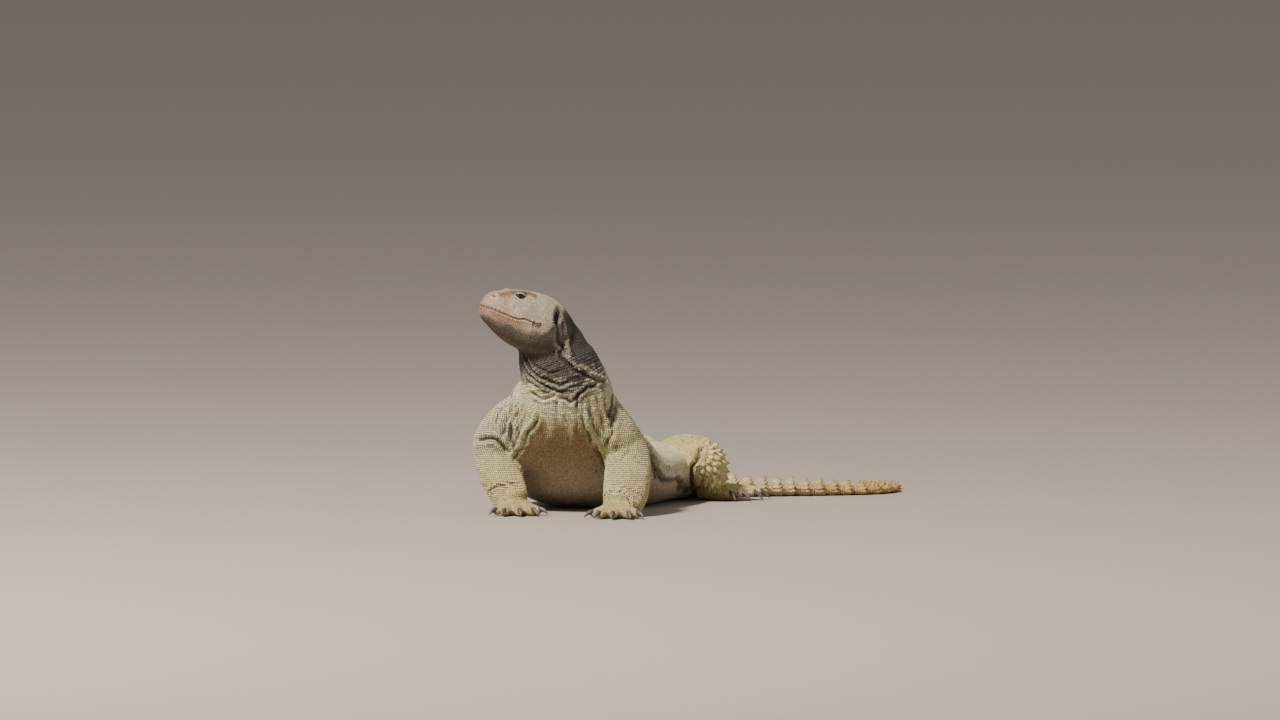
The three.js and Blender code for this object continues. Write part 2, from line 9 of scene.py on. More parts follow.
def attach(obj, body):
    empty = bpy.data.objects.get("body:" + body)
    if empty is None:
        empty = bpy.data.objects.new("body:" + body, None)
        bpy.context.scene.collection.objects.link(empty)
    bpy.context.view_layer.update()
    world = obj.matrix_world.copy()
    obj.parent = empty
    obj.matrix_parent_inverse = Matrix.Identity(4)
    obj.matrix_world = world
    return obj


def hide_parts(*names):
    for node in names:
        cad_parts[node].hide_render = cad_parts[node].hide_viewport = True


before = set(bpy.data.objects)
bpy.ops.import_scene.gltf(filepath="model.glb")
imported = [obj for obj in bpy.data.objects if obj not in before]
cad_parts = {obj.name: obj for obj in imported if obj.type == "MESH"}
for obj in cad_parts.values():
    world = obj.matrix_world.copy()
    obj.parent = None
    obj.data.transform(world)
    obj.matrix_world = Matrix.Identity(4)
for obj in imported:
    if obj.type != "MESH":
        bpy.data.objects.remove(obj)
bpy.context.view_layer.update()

# Camera
# The lizard is seen from 14 m away through a very long lens, 3.5 degrees above the level of the floor,
# so that 0.8 mm of the animal fills each of the picture's 1280 columns.
PICTURE_COLUMNS = 1280
METRES_PER_COLUMN = 0.0008
VIEW_DISTANCE = 14.0
VIEW_HEIGHT_ANGLE = math.radians(3.5)
VIEW_RANGE = 200.0
SENSOR = 36.0


def linked(name, data):
    """An object with this data, in the scene."""
    item = bpy.data.objects.new(name, data)
    bpy.context.scene.collection.objects.link(item)
    return item


aim = Vector((0.028, 0.0, 0.1157))
lens = bpy.data.cameras.new("long_lens")
lens.sensor_width = SENSOR
lens.lens = SENSOR * VIEW_DISTANCE / (METRES_PER_COLUMN * PICTURE_COLUMNS)
lens.clip_end = VIEW_RANGE
camera = linked("camera", lens)
camera.location = aim + VIEW_DISTANCE * Vector((0, -math.cos(VIEW_HEIGHT_ANGLE), math.sin(VIEW_HEIGHT_ANGLE)))
camera.rotation_euler = (aim - camera.location).to_track_quat("-Z", "Y").to_euler()
bpy.context.scene.camera = camera

# Floor and light
# A plain pale floor that runs back past the top of the view, one large lamp high on the left as the sun
# stands, a weak one from the right, and an even pale sky that fills the shadows.
FLOOR_CORNERS = [(-30, -20, 0), (30, -20, 0), (30, 60, 0), (-30, 60, 0)]
LAMP_AIM = Vector((0, 0, 0.05))


def new_finish(name, roughness, colour=(0.8, 0.8, 0.8)):
    """A material of one roughness and colour, and its main shader."""
    material = bpy.data.materials.new(name)
    material.use_nodes = True
    body = material.node_tree.nodes["Principled BSDF"]
    body.inputs["Base Color"].default_value = (*colour, 1)
    body.inputs["Roughness"].default_value = roughness
    return material, body


floor_mesh = bpy.data.meshes.new("floor")
floor_mesh.from_pydata(FLOOR_CORNERS, [], [(0, 1, 2, 3)])
floor_paint, _ = new_finish("pale_floor", 0.95, (0.33, 0.285, 0.235))
floor_mesh.materials.append(floor_paint)
floor = linked("floor", floor_mesh)


def add_lamp(name, place, size, power, colour):
    """A square lamp that shines on the animal."""
    light = bpy.data.lights.new(name, "AREA")
    light.size = size
    light.energy = power
    light.color = colour
    lamp = linked(name, light)
    lamp.location = place
    lamp.rotation_euler = (LAMP_AIM - lamp.location).to_track_quat("-Z", "Y").to_euler()


add_lamp("sun_lamp", Vector((-1.4, -1.85, 2.6)), 0.42, 255, (1.0, 0.955, 0.88))
add_lamp("right_lamp", Vector((2.4, -1.6, 1.3)), 1.4, 5, (0.95, 0.96, 1.0))
sky = bpy.data.worlds.new("pale_sky")
sky.use_nodes = True
sky.node_tree.nodes["Background"].inputs["Color"].default_value = (0.86, 0.86, 0.86, 1)
sky.node_tree.nodes["Background"].inputs["Strength"].default_value = 0.46
bpy.context.scene.world = sky

# Flesh under the skin
# The body's masses, as rounded lofts through rows of sections: centre x, y, z, half width, depth above,
# depth below and lean of the upper side in degrees, all in millimetres from a point in front of the belly.
ROWS_TO_FRAME = np.array([-4.0, -126.0, 0.0])
COAT_DEPTH = 0.35
TRUNK = [
    (-41, -5, 151, 19, 17, 17, 85), (-38.5, -3, 140, 25, 22, 22, 84), (-36, -3, 128, 29, 22, 23, 78),
    (-31.5, -3, 115, 33, 24, 23, 68), (-29, 1, 101, 38.5, 27, 24, 58), (-29, 10, 86, 44, 31, 27, 48),
    (-28, 26, 70, 50, 32, 32, 36), (-25, 48, 55, 56, 30, 36, 24), (-19, 74, 43, 62, 28, 39, 10),
    (-9, 102, 33, 66, 23, 36, 0), (6, 130, 30, 64, 20.5, 34, 0), (24, 157, 29, 54, 19, 32, 0),
    (43, 181, 27, 42, 19, 29, 0), (60, 199, 23, 32, 18, 25, 0), (73, 210, 19, 24, 15, 20, 0),
]
SKULL = [
    (-18, 0, -2, 14, 11, 14, 0), (-10, 0, -3, 22, 18, 20, 0), (0, 0, -4, 25.5, 23.3, 22, 0),
    (12, 0, -4, 25.2, 24.7, 23, 0), (24, 0, -3.5, 23.3, 24, 21, 0), (34, 0, -2.5, 20.3, 21.5, 17.5, 0),
    (43, 0, -1, 17, 18.5, 13.5, 0), (49.5, 0, 0.5, 13.4, 14.5, 11, 0), (53.5, 0, 1.5, 9.2, 10, 8.6, 0),
    (55.8, 0, 2, 4.8, 5.5, 5, 0),
]
TAIL = [
    (60, 202, 17, 19, 10, 16, 0), (84, 216, 9, 19.5, 6.5, 10.5, 0), (112, 223, 7.3, 17.8, 5.5, 8.4, 0),
    (148, 229, 6.1, 15.2, 4.7, 7.2, 0), (184, 235, 4.8, 12.8, 4, 6, 0), (216, 245, 3.9, 10.8, 3.4, 5.2, 0),
    (233, 268, 3.4, 8.6, 2.9, 4.6, 0), (232, 296, 3, 6.4, 2.4, 4, 0), (222, 320, 2.7, 4, 1.9, 3.2, 0),
    (213, 335, 2.1, 2.2, 1.4, 2.4, 0),
]
FORELEG = {
    "left": [
        (-8, 12, 86, 15, 15, 15, 90), (2, 10, 78, 17, 17, 16, 90), (11.5, 12, 66, 17.5, 18, 16.5, 90),
        (18.5, 16, 54, 17.5, 18, 16.5, 90), (22.5, 11, 42, 17.8, 16.5, 15.5, 90),
        (22, 0, 30, 18.2, 14.5, 14.5, 90), (20.5, -11, 18, 17.6, 13, 13, 90), (18, -22, 9, 15, 11, 11, 70),
    ],
    "right": [
        (-50, 22, 86, 15, 15, 15, 90), (-63, 24, 79, 16.5, 17, 16, 90), (-75, 30, 68.5, 17, 18, 16, 90),
        (-82.5, 37, 56, 17.5, 18, 16, 90), (-82.5, 36, 44, 17, 16.5, 15, 90), (-79, 29, 32, 17, 14.5, 14, 90),
        (-74.5, 21, 21, 15.5, 12.5, 12.5, 90), (-70, 11, 11, 14, 10, 10, 70),
    ],
}
THIGH = [
    (52, 186, 27, 17, 18, 18, 0), (66, 171, 32, 21, 21, 22, 0), (77, 158, 34, 19.5, 19, 20, 0),
    (84, 149, 35, 15.5, 15, 15.5, 0),
]
SHIN = [
    (84, 146, 35, 13, 13, 13, 0), (88, 154, 29, 13.5, 14.5, 14.5, 0), (90, 166, 20, 11.5, 12, 12, 0),
    (89, 178, 11, 9.5, 8.5, 9.5, 0),
]
PALM = [
    (-10, 0, 10, 11, 8, 9, 0), (0, 0, 8, 13, 7, 9, 0), (9, 0, 6.5, 13.5, 5.5, 7.5, 0),
    (15, 0, 5, 11, 4, 6, 0),
]
TOE = [(0, 6, 4.6), (0.5, 5.4, 4.3), (1, 3.9, 3.7)]  # share of the toe, height and radius
FEET = {
    "hand_left": dict(x=15, y=-24, heading=256, palm=1, arch=0, turns=(52, 28, 4, -18, -42),
                      lengths=(12, 17, 19, 18, 13)),
    "hand_right": dict(x=-68, y=9, heading=284, palm=0.95, arch=0, turns=(-52, -28, -4, 18, 42),
                       lengths=(12, 17, 19, 18, 13)),
    "foot_left": dict(x=91, y=178, heading=350, palm=0.95, arch=3.8, turns=(-44, -22, -4, 12, 48),
                      lengths=(12, 19, 25, 29, 17)),
}
HIPS_X, HIPS_Y, HIPS_YAW = 53, 195, math.radians(37.4)
HEAD_X, HEAD_Y, HEAD_Z, HEAD_YAW, HEAD_PITCH = -42, -8, 154.2, math.radians(200), math.radians(14)
PALM_SPREAD, PALM_REACH = 11, 7
SHORT_WAY = 0.05  # share of the step between two rows, to find the way along a mass


def unit(vectors):
    """The vectors at length 1."""
    return vectors / np.maximum(np.linalg.norm(vectors, axis=-1, keepdims=True), 1e-9)


def row_at(rows, place):
    """Rows at places between the given ones, on a smooth curve through them."""
    rows = np.asarray(rows, float)
    first = np.clip(np.floor(place).astype(int), 0, len(rows) - 2)
    share = (place - first)[:, None]
    before, start, end, after = (rows[np.clip(first + step, 0, len(rows) - 1)] for step in (-1, 0, 1, 2))
    curve = 2 * before - 5 * start + 4 * end - after
    twist = 3 * (start - end) + after - before
    return start + 0.5 * share * (end - before + share * (curve + share * twist))


def surface(part, place, angle, share=1.0, shift=0.0, grow=0.0):
    """Points of a loft's surface at places along its rows and angles round them, with the way along it."""
    rows, square = part["rows"], part["square"]
    place, angle = np.broadcast_arrays(np.asarray(place, float), np.asarray(angle, float))
    row = row_at(rows, place)
    last = len(rows) - 1
    ahead, behind = np.minimum(place + SHORT_WAY, last), np.maximum(place - SHORT_WAY, 0)
    along = unit(unit(row_at(rows, ahead) - row_at(rows, behind))[:, :3])
    lean = np.radians(row[:, 6])
    upward = np.stack([0 * lean, np.sin(lean), np.cos(lean)], 1)
    side = unit(np.cross(along, upward))
    top = np.cross(side, along)
    across = np.sign(np.cos(angle)) * np.abs(np.cos(angle)) ** (2 / square) * (row[:, 3] + grow) * share
    depth = np.where(np.sin(angle) > 0, row[:, 4], row[:, 5]) + grow
    high = np.sign(np.sin(angle)) * np.abs(np.sin(angle)) ** (2 / square) * depth * share
    points = row[:, :3] + side * across[:, None] + top * high[:, None]
    points = points + along * np.broadcast_to(shift, place.shape)[:, None]
    turn, move = part["turn"], part["move"]
    return points @ turn.T + move, along @ turn.T


def ring_quads(rings, sides, closed=False):
    """Faces between rings of points; closed joins the last ring to the first, or else both are capped."""
    ring, side = np.meshgrid(np.arange(rings if closed else rings - 1), np.arange(sides), indexing="ij")
    near, far, following = ring * sides, (ring + 1) % rings * sides, (side + 1) % sides
    faces = np.stack([near + side, near + following, far + following, far + side], -1).reshape(-1, 4).tolist()
    if not closed:
        faces += [list(range(sides))[::-1], list(range((rings - 1) * sides, rings * sides))]
    return faces


def add_part(name, rows, dome=(4, 4), square=2.3, turn=np.eye(3), move=np.zeros(3), sides=48, step=2.0):
    """A mass of the body: its rows, and a closed grid of points over it with their places and angles."""
    part = dict(rows=rows, square=square, turn=turn, move=np.asarray(move, float))
    last = len(rows) - 1
    length = np.linalg.norm(np.diff(np.asarray(rows, float)[:, :3], axis=0), axis=1).sum()
    rings = [(0.0, math.sin(a), -math.cos(a) * dome[0]) for a in np.linspace(0.12, 1.35, 6)]
    rings += [(place, 1.0, 0.0) for place in np.linspace(0, last, int(length / step) + 2)]
    rings += [(last, math.sin(a), math.cos(a) * dome[1]) for a in np.linspace(1.35, 0.12, 6)]
    place, share, shift = (np.repeat([ring[column] for ring in rings], sides) for column in range(3))
    angle = np.tile((np.arange(sides) + 0.5) / sides * 2 * math.pi, len(rings))
    points, _ = surface(part, place, angle, share, shift, -COAT_DEPTH)
    quads = ring_quads(len(rings), sides)
    part.update(points=points, quads=quads, place=place, angle=angle, length=length, dome=dome)
    parts[name] = part


def across_hips(rows):
    """The same rows on the other side of the hips."""
    normal_x, normal_y = math.cos(-HIPS_YAW), math.sin(-HIPS_YAW)
    mirrored = []
    for x, y, *others in rows:
        distance = (x - HIPS_X) * normal_x + (y - HIPS_Y) * normal_y
        mirrored.append((x - 2 * distance * normal_x, y - 2 * distance * normal_y, *others))
    return mirrored


parts = {}
forward = np.array([math.cos(HEAD_YAW), math.sin(HEAD_YAW), math.tan(HEAD_PITCH)])
forward /= np.linalg.norm(forward)
leftward = np.array([-math.sin(HEAD_YAW), math.cos(HEAD_YAW), 0])
head_turn = np.stack([forward, leftward, np.cross(forward, leftward)], 1)
head_move = np.array([HEAD_X, HEAD_Y, HEAD_Z])
add_part("trunk", TRUNK, dome=(8, 8), sides=120)
add_part("skull", SKULL, dome=(4, 1.2), square=2.6, turn=head_turn, move=head_move, sides=72, step=1.2)
add_part("tail", TAIL, dome=(6, 2))
FEET["foot_right"] = dict(FEET["foot_left"], turns=tuple(-turn for turn in FEET["foot_left"]["turns"]))
foot_x, foot_y = across_hips([(FEET["foot_left"]["x"], FEET["foot_left"]["y"])])[0]
FEET["foot_right"].update(x=foot_x, y=foot_y, heading=2 * (90 - math.degrees(HIPS_YAW)) - 350)
for side in ("left", "right"):
    on_side = across_hips if side == "right" else list
    add_part(f"foreleg_{side}", FORELEG[side], dome=(6, 6))
    add_part(f"thigh_{side}", on_side(THIGH), dome=(6, 12))
    add_part(f"shin_{side}", on_side(SHIN), dome=(9, 5))
claw_rows = []
for name, foot in FEET.items():
    heading = math.radians(foot["heading"])
    foot_turn = np.array([[math.cos(heading), -math.sin(heading), 0],
                          [math.sin(heading), math.cos(heading), 0], [0, 0, 1]])
    foot_move = np.array([foot["x"], foot["y"], 0.0])
    palm = foot["palm"]
    add_part(f"{name}_palm", [[value * palm for value in row] for row in PALM], dome=(4, 3),
             turn=foot_turn, move=foot_move, step=1.0)
    for digit, (turn, length) in enumerate(zip(foot["turns"], foot["lengths"]), 1):
        angle = math.radians(turn)
        root_x, root_y = PALM_REACH * palm, math.sin(angle) * PALM_SPREAD * palm
        rows = []
        for share, z, radius in TOE:
            reach = share * length
            x, y = root_x + math.cos(angle) * reach, root_y + math.sin(angle) * reach
            rows.append((x, y, z + foot["arch"] * math.sin(2.4 * share), radius, radius, radius, 0))
        add_part(f"{name}_toe_{digit}", rows, dome=(2, 3), square=2, turn=foot_turn, move=foot_move,
                 sides=24, step=1.0)
        claw_rows.append((name, digit, root_x, root_y, angle, length, foot["arch"], foot_turn, foot_move))

# Skin, one piece from lips to tail tip
# Soft scaled hide drawn over the flesh with no seam; the masses are joined at 1 mm, the hollows between
# limbs and body are eased, and the animal's weight flattens it where it lies on the floor.
SKIN_GRID = 1.0
FLOOR_CLEARANCE = 0.15
EYE, EYE_RADIUS, LID_RADIUS, LID_TOP = np.array([31.8, 12, 14.4]), 4.9, 6.1, 4.3


def new_mesh(name, points, faces):
    """An object with a mesh of these points and faces."""
    mesh = bpy.data.meshes.new(name)
    mesh.from_pydata(np.asarray(points).tolist(), [], faces)
    mesh.update()
    return linked(name, mesh)


def vectors_of(items, kind):
    """The places or the normals of a mesh's points, as an array."""
    values = np.zeros(len(items) * 3, np.float32)
    items.foreach_get(kind, values)
    return values.reshape(-1, 3).astype(float)


def from_head(points):
    """Points of the head's own frame in the animal's."""
    return points @ head_turn.T + head_move


def in_head(points):
    """Points of the animal in the head's own frame: forward from the ears, to the left and up."""
    return (points - head_move) @ head_turn


def round_grid(values, sides):
    """Values repeated for each point of their ring, and the angle of each point round its ring."""
    return np.repeat(values, sides), np.tile(np.arange(sides) / sides * 2 * math.pi, len(values))


def ball_points(centre, radius, rings, sides, axis=(0, 0, 1)):
    """Rings of points round an axis of a ball, with their angle from it."""
    axis = unit(np.array(axis, float))
    across = unit(np.cross(axis, (0.31, 0.05, 0.9)))
    above = np.cross(axis, across)
    bend, around = round_grid(np.linspace(math.pi - 0.02, 0.02, rings), sides)
    spokes = np.cos(around)[:, None] * across + np.sin(around)[:, None] * above
    return centre + radius * (np.cos(bend)[:, None] * axis + np.sin(bend)[:, None] * spokes), bend


shells = [(part["points"], part["quads"]) for part in parts.values()]
for side in (1, -1):
    ball, _ = ball_points(EYE * (1, side, 1), LID_RADIUS - COAT_DEPTH, 16, 24)
    ball[:, 2] = np.minimum(ball[:, 2], EYE[2] + LID_TOP)
    shells.append((from_head(ball), ring_quads(16, 24)))
offset = 0
all_quads = []
for points, quads in shells:
    all_quads += [[index + offset for index in quad] for quad in quads]
    offset += len(points)
masses = new_mesh("masses", np.concatenate([points for points, _ in shells]), all_quads)
join = masses.modifiers.new("join", "REMESH")
join.mode = "VOXEL"
join.voxel_size = SKIN_GRID
skin_mesh = bpy.data.meshes.new_from_object(masses.evaluated_get(bpy.context.evaluated_depsgraph_get()))
bpy.data.objects.remove(masses)
skin_mesh.name = "skin"
skin = linked("skin", skin_mesh)
skin_points = vectors_of(skin_mesh.vertices, "co")
edges = np.zeros(len(skin_mesh.edges) * 2, np.int32)
skin_mesh.edges.foreach_get("vertices", edges)
edges = edges.reshape(-1, 2)


def eased(values, weight, rounds):
    """Moves each point's values towards the mean of its neighbours', by its own weight, a number of times."""
    count = np.bincount(edges.ravel(), minlength=len(values))
    weight = np.broadcast_to(weight, len(values))[:, None]
    for _ in range(rounds):
        mean = np.empty_like(values)
        for axis in range(values.shape[1]):
            total = np.bincount(edges[:, 0], values[edges[:, 1], axis], len(values))
            total += np.bincount(edges[:, 1], values[edges[:, 0], axis], len(values))
            mean[:, axis] = total / count
        values = values + (mean - values) * weight
    return values


def shape_skin(points):
    """Moves the skin's points, and gives its normals there."""
    skin_mesh.vertices.foreach_set("co", points.astype(np.float32).ravel())
    skin_mesh.update()
    return vectors_of(skin_mesh.vertex_normals, "vector")


trees = {name: BVHTree.FromPolygons(part["points"].tolist(), part["quads"]) for name, part in parts.items()}
part_names = list(parts)
REACH = 14.0
FAR = 99.0


def distances(points):
    """Distance from each point to each mass within reach, with the face of the mass that is nearest."""
    table = np.full((len(parts), len(points)), FAR)
    faces = np.full((len(parts), len(points)), -1)
    for index, name in enumerate(part_names):
        low, high = parts[name]["points"].min(0) - REACH, parts[name]["points"].max(0) + REACH
        near = np.nonzero(((points > low) & (points < high)).all(1))[0]
        find = trees[name].find_nearest
        for vertex in near:
            found = find(points[vertex], REACH)
            if found[0] is not None:
                table[index, vertex] = found[3]
                faces[index, vertex] = found[2]
    return table, faces


RUMP, RUMP_RADIUS = (82, 214, 15), 20
HOLLOW_REACH, TOES_REACH = 9, 8
reach_table, _ = distances(skin_points)
hollow = np.clip(1 - np.sort(reach_table, axis=0)[1] / HOLLOW_REACH, 0, 1)
toes = np.array(["toe" in name or "palm" in name for name in part_names])
fine = np.clip((TOES_REACH - reach_table[toes].min(0)) / 6, 0, 1)
skin_points = eased(skin_points, 0.5, 4)
skin_points = eased(skin_points, 0.6 * hollow * (1 - 0.85 * fine), 45)
from_rump = np.linalg.norm(skin_points - RUMP, axis=1)
skin_points = eased(skin_points, 0.6 * np.exp(-(from_rump / RUMP_RADIUS) ** 4), 110)
skin_points = eased(skin_points, 0.4, 3)
skin_points[:, 2] = np.maximum(skin_points[:, 2], FLOOR_CLEARANCE)
normals = shape_skin(skin_points)

# Where each point of the skin lies on the masses, for its folds and its colours
reach_table, face_table = distances(skin_points)
region = reach_table.argmin(0)
place, turned = np.zeros(len(skin_points)), np.zeros(len(skin_points))
for index, name in enumerate(part_names):
    here = np.nonzero(region == index)[0]
    corner = np.array([quad[0] for quad in parts[name]["quads"]])[face_table[index, here]]
    place[here], turned[here] = parts[name]["place"][corner], np.degrees(parts[name]["angle"][corner])
head_points = in_head(skin_points)


def over(*names):
    """Whether each point of the skin lies over a mass whose name starts with one of these."""
    return np.isin(region, [number for number, name in enumerate(part_names) if name.startswith(names)])


on_trunk, on_skull = over("trunk"), over("skull")

# Folds and creases of loose skin: for each, its height, its half width and the places it runs through, as the
# name of a mass and then places along it and degrees round it. Those below nought are creases between two
# small rolls, and those that end in "both" run on both sides of the body.
random = np.random.default_rng(20)
SKIN_FOLDS = [
    (2.0, 2.4, "skull 1.55 150 1.3 168 1.05 183 trunk 1.1 297 1.9 294 2.45 294 2.75 297 2.95 306 3.2 318 "
               "3.5 330 3.75 342 4.1 350"),
    (2.0, 2.4, "skull 1.55 30 1.3 12 1.05 357 trunk 1.1 123 1.9 126 2.45 128 2.95 136 3.4 150 3.8 166"),
    (1.3, 1.7, "skull 2.05 204 1.7 213 trunk 1.85 282 2.35 288 2.6 294"),
    (-1.8, 1.3, "trunk 1.4 288 2.2 283 2.9 291 3.1 303 3.3 312 3.6 330 3.9 344"),
    (-1.3, 1.2, "skull 2.05 168 1.8 183 1.5 201 trunk 1.5 287 2.1 288"),
    (-1.6, 1.2, "skull 3.3 270 trunk 1.95 225 2.35 234 2.8 246 3.05 258 3.25 267 3.3 276 3.25 284"),
    (-1.6, 1.2, "trunk 1.9 212 2.4 225 2.85 237 3.25 252 3.45 264 3.6 270 3.6 280"),
    (-1.0, 1.0, "trunk 2.1 240 2.5 252 2.75 264 2.85 276"),
    (-0.9, 1.0, "trunk 2.2 206 2.7 220 3.1 232 3.3 243"),
    (-1.5, 1.3, "trunk 3.55 228 3.6 234 3.85 249 3.75 258 3.7 265"),
    (-1.7, 1.3, "trunk 3.75 264 3.9 273 4.0 279 3.75 291 3.65 303 3.6 315 3.55 330"),
    (-1.3, 1.2, "trunk 3.75 290 3.95 286 4.25 282"),
    (-1.0, 1.6, "trunk 3.9 266 4.3 264 4.6 267"),
    (0.8, 2.4, "trunk 4.3 267 4.6 269 4.95 270 5.4 272 5.9 274"),
    (-1.8, 1.5, "trunk 4.55 246 4.85 243 5.15 237 5.65 231 5.9 228 6.25 222 6.6 220"),
    (1.2, 1.6, "trunk 4.5 241 4.85 237.5 5.15 231.5 5.65 225.5 6.0 221 6.3 216"),
    (-1.8, 1.5, "trunk 4.4 287 4.7 288 5.1 291 5.6 297 5.95 300 6.4 305 6.7 308"),
    (1.2, 1.6, "trunk 4.4 292.5 4.7 293.5 5.1 296.5 5.6 302.5 5.95 306 6.35 311"),
    (-1.0, 1.8, "trunk 4.4 196 5.0 201 5.55 210 6.1 213"),
    (-1.2, 1.9, "trunk 4.2 206 4.85 213 5.4 222 5.95 222"),
    (-1.2, 1.9, "trunk 4.5 186 4.9 186 foreleg_right 1.55 267 2.15 282"),
    (-0.8, 1.4, "trunk 4.1 282 4.8 283 5.4 282"),
    (-1.2, 1.9, "trunk 3.95 300 4.3 300 4.95 300 foreleg_left 1.75 225 2.6 216"),
    (-1.1, 1.8, "trunk 3.9 312 4.25 312 4.85 312 foreleg_left 1.75 249 2.4 234"),
    (-1.1, 1.9, "trunk 3.95 330 4.55 324 foreleg_left 1.3 280 1.6 264"),
    (-1.3, 1.8, "foreleg_right 1.0 204 1.45 228 1.9 249"),
    (-1.3, 1.8, "foreleg_left 1.15 309 1.65 270 2.2 234"),
    (-2.2, 1.9, "foreleg_right 2.95 205 2.7 237 2.35 264 2.4 288 2.7 315"),
    (-0.8, 1.7, "foreleg_left 4.9 205 4.75 225 4.55 252 4.15 267 3.95 280"),
    (-1.8, 1.1, "foreleg_right 6.15 205 6.2 231 6.4 276 6.45 330"),
    (-0.9, 1.1, "foreleg_left 6.3 215 6.35 240 6.4 280 6.4 330"),
    (-2.8, 1.8, "thigh_left 3.47 66 3.45 28 3.36 2 3.18 342 trunk 11.75 352 12.2 336 13.05 318", "both"),
    (-1.5, 1.1, "hand_left_palm 0.2 15 0.45 50 0.75 90 1.1 130 1.4 160"),
    (1.8, 2.4, "trunk 7.2 14 7.8 9 8.1 4 8.5 0 8.8 355 9.4 352 9.85 352 10.15 354 10.8 349 11.5 341", "both"),
    (-3.2, 2.6, "trunk 7.8 2 8.2 357 8.7 350 9.3 347 9.85 347 10.2 349 10.8 344 11.4 337", "both"),
    (-0.5, 2.8, "trunk 7.3 20 8.2 18 9.0 14 9.8 12", "both"),
    (-0.4, 2.4, "trunk 8.4 40 9.2 34 10.0 30", "both"),
]
skin_faces = [tuple(face.vertices) for face in skin_mesh.polygons]
bare_tree = BVHTree.FromPolygons(skin_points.tolist(), skin_faces)


def on_part(name, places, degrees):
    """Points of a mass under its scales; places past its ends are shares of the way over its domes."""
    part, last = parts[name], len(parts[name]["rows"]) - 1
    past = np.maximum(places - last, 0) - np.maximum(-places, 0)
    shift = np.sin(past * math.pi / 2) * np.where(past > 0, part["dome"][1], part["dome"][0])
    share = np.cos(past * math.pi / 2)
    return surface(part, np.clip(places, 0, last), np.radians(degrees), share, shift, -COAT_DEPTH)[0]


POINTS_PER_MILLIMETRE = 2
FADING_SHARE = 0.16


def along_fold(places, mirrored=False):
    """Points of the skin every 0.5 mm or so along a fold, with how far it has faded towards its ends."""
    knots, spot = [], []
    for word in places.split():
        if word[0].isalpha():
            name = word.replace("left", "right") if mirrored else word
            continue
        spot.append(float(word))
        if len(spot) == 2:
            degrees = (180 - spot[1]) % 360 if mirrored else spot[1]
            knots.append(on_part(name, np.array(spot[:1]), np.array([degrees]))[0])
            spot = []
    length = sum(np.linalg.norm(b - a) for a, b in zip(knots, knots[1:]))
    count = int(length * POINTS_PER_MILLIMETRE) + 2
    line = row_at(knots, np.linspace(0, len(knots) - 1, count))
    waves = np.arange(count)[:, None] / (9.0, 7.0, 8.0) + random.uniform(0, 6, 3)
    line = line + 0.55 * np.sin(waves) + 0.3 * np.sin(2.3 * waves)
    line = np.array([tuple(bare_tree.find_nearest(point)[0]) for point in line.tolist()])
    fade = np.minimum(np.linspace(0, 1, count), np.linspace(1, 0, count)) / FADING_SHARE
    return line, np.clip(fade, 0, 1) ** 0.7


def both_sides(entries):
    """Each entry's height or strength, its half width and its line, and those of its mirror image."""
    for value, width, places, *both in entries:
        for mirrored in (False, True)[:1 + len(both)]:
            yield value, width, along_fold(places, mirrored)


def bell(distance, width):
    """1 at no distance, and a smooth fall to about a third at the width."""
    return np.exp(-(distance / width) ** 2)


GAPS_AT_ONCE = 4000000


def nearest_on(line, points, reach):
    """Distance from each point to a line of points, if within reach, and the nearest one's number."""
    distance, number = np.full(len(points), FAR), np.zeros(len(points), int)
    near = np.nonzero(((points > line.min(0) - reach) & (points < line.max(0) + reach)).all(1))[0]
    for some in np.array_split(near, max(len(near) * len(line) // GAPS_AT_ONCE, 1)):
        gaps = np.linalg.norm(points[some, None] - line[None], axis=2)
        number[some] = gaps.argmin(1)
        distance[some] = gaps.min(1)
    return distance, number


lift = np.zeros(len(skin_points))
fold_mark = np.zeros(len(skin_points))
for height, width, (line, fade) in both_sides(SKIN_FOLDS):
    distance, number = nearest_on(line, skin_points, 5 * width)
    profile = bell(distance, width)
    if height < 0 and width < 2.5:
        profile = profile - 0.55 * bell(distance - 2.1 * width, 1.1 * width)
    lift += 0.85 * height * profile * fade[number]
    # The fold mark gives painted shade in the creases, and on the neck paler crests that are partly painted
    # highlight.
    fold_mark += np.sign(height) * profile * fade[number] * min(abs(height), 1.5) / 1.5

# Small wrinkles of the loose skin of the shoulders and the neck, along the body in front of the arms and
# round it above
wander = 2.5 * np.sin(place * 2.1 + turned / 31) + 1.7 * np.sin(place * 4.7 - turned / 17)
beside_chest = np.maximum(bell(turned - 208, 26), bell(turned - 312, 24)) * bell(place - 5.1, 1.0)
below_neck = bell(place - 3.2, 0.9) * bell(turned - 265, 75)
small = on_trunk * beside_chest * np.sin(turned * 1.25 + wander) * 0.5
throat = bell(place - 1.3, 1.0) * bell(turned - 262, 50)
small += on_trunk * throat * np.sin(turned + 1.5 * wander) * 0.45
small += on_trunk * below_neck * np.sin(place * 26 + 1.3 * wander + turned / 23) * 0.4
lift += small
# Painted shade in the wrinkles' hollows, through the fold mark.
fold_mark += small * 1.1

# The head's forms, seen square to its side: forward from the ears and up, in millimetres
BROW = [(19, 15.4), (21, 16.4), (26, 18.2), (32, 18.4), (38, 16.4), (43, 13.2), (48, 12)]
BROWN_BAND = [(19, 17.8), (25, 18.2), (31, 18), (36, 16.2), (40.5, 14), (44, 12.6), (47, 12)]
JAW_SHADE = ((-5, 2, 10, 23, 35, 47, 54), (-2, -6.3, -12, -12.5, -10, -10.5, -7))
MOUTH = [(70, 1), (57.5, 0.5), (49, -0.8), (40, -2.8), (32, -3.8), (26, -2.6), (17, -4.2)]
EYE_SLIT_HALF, UPPER_SLIT, LOWER_SLIT = 4.9, 2.3, 2.7
EAR, EAR_HALF = (0.8, 3.8), (2.7, 6.3)
NOSTRIL = (50.3, 9.6)
forward_of, left_of, up_of = head_points.T
on_head = (on_skull | on_trunk) & (forward_of > -12) & (up_of > -30)


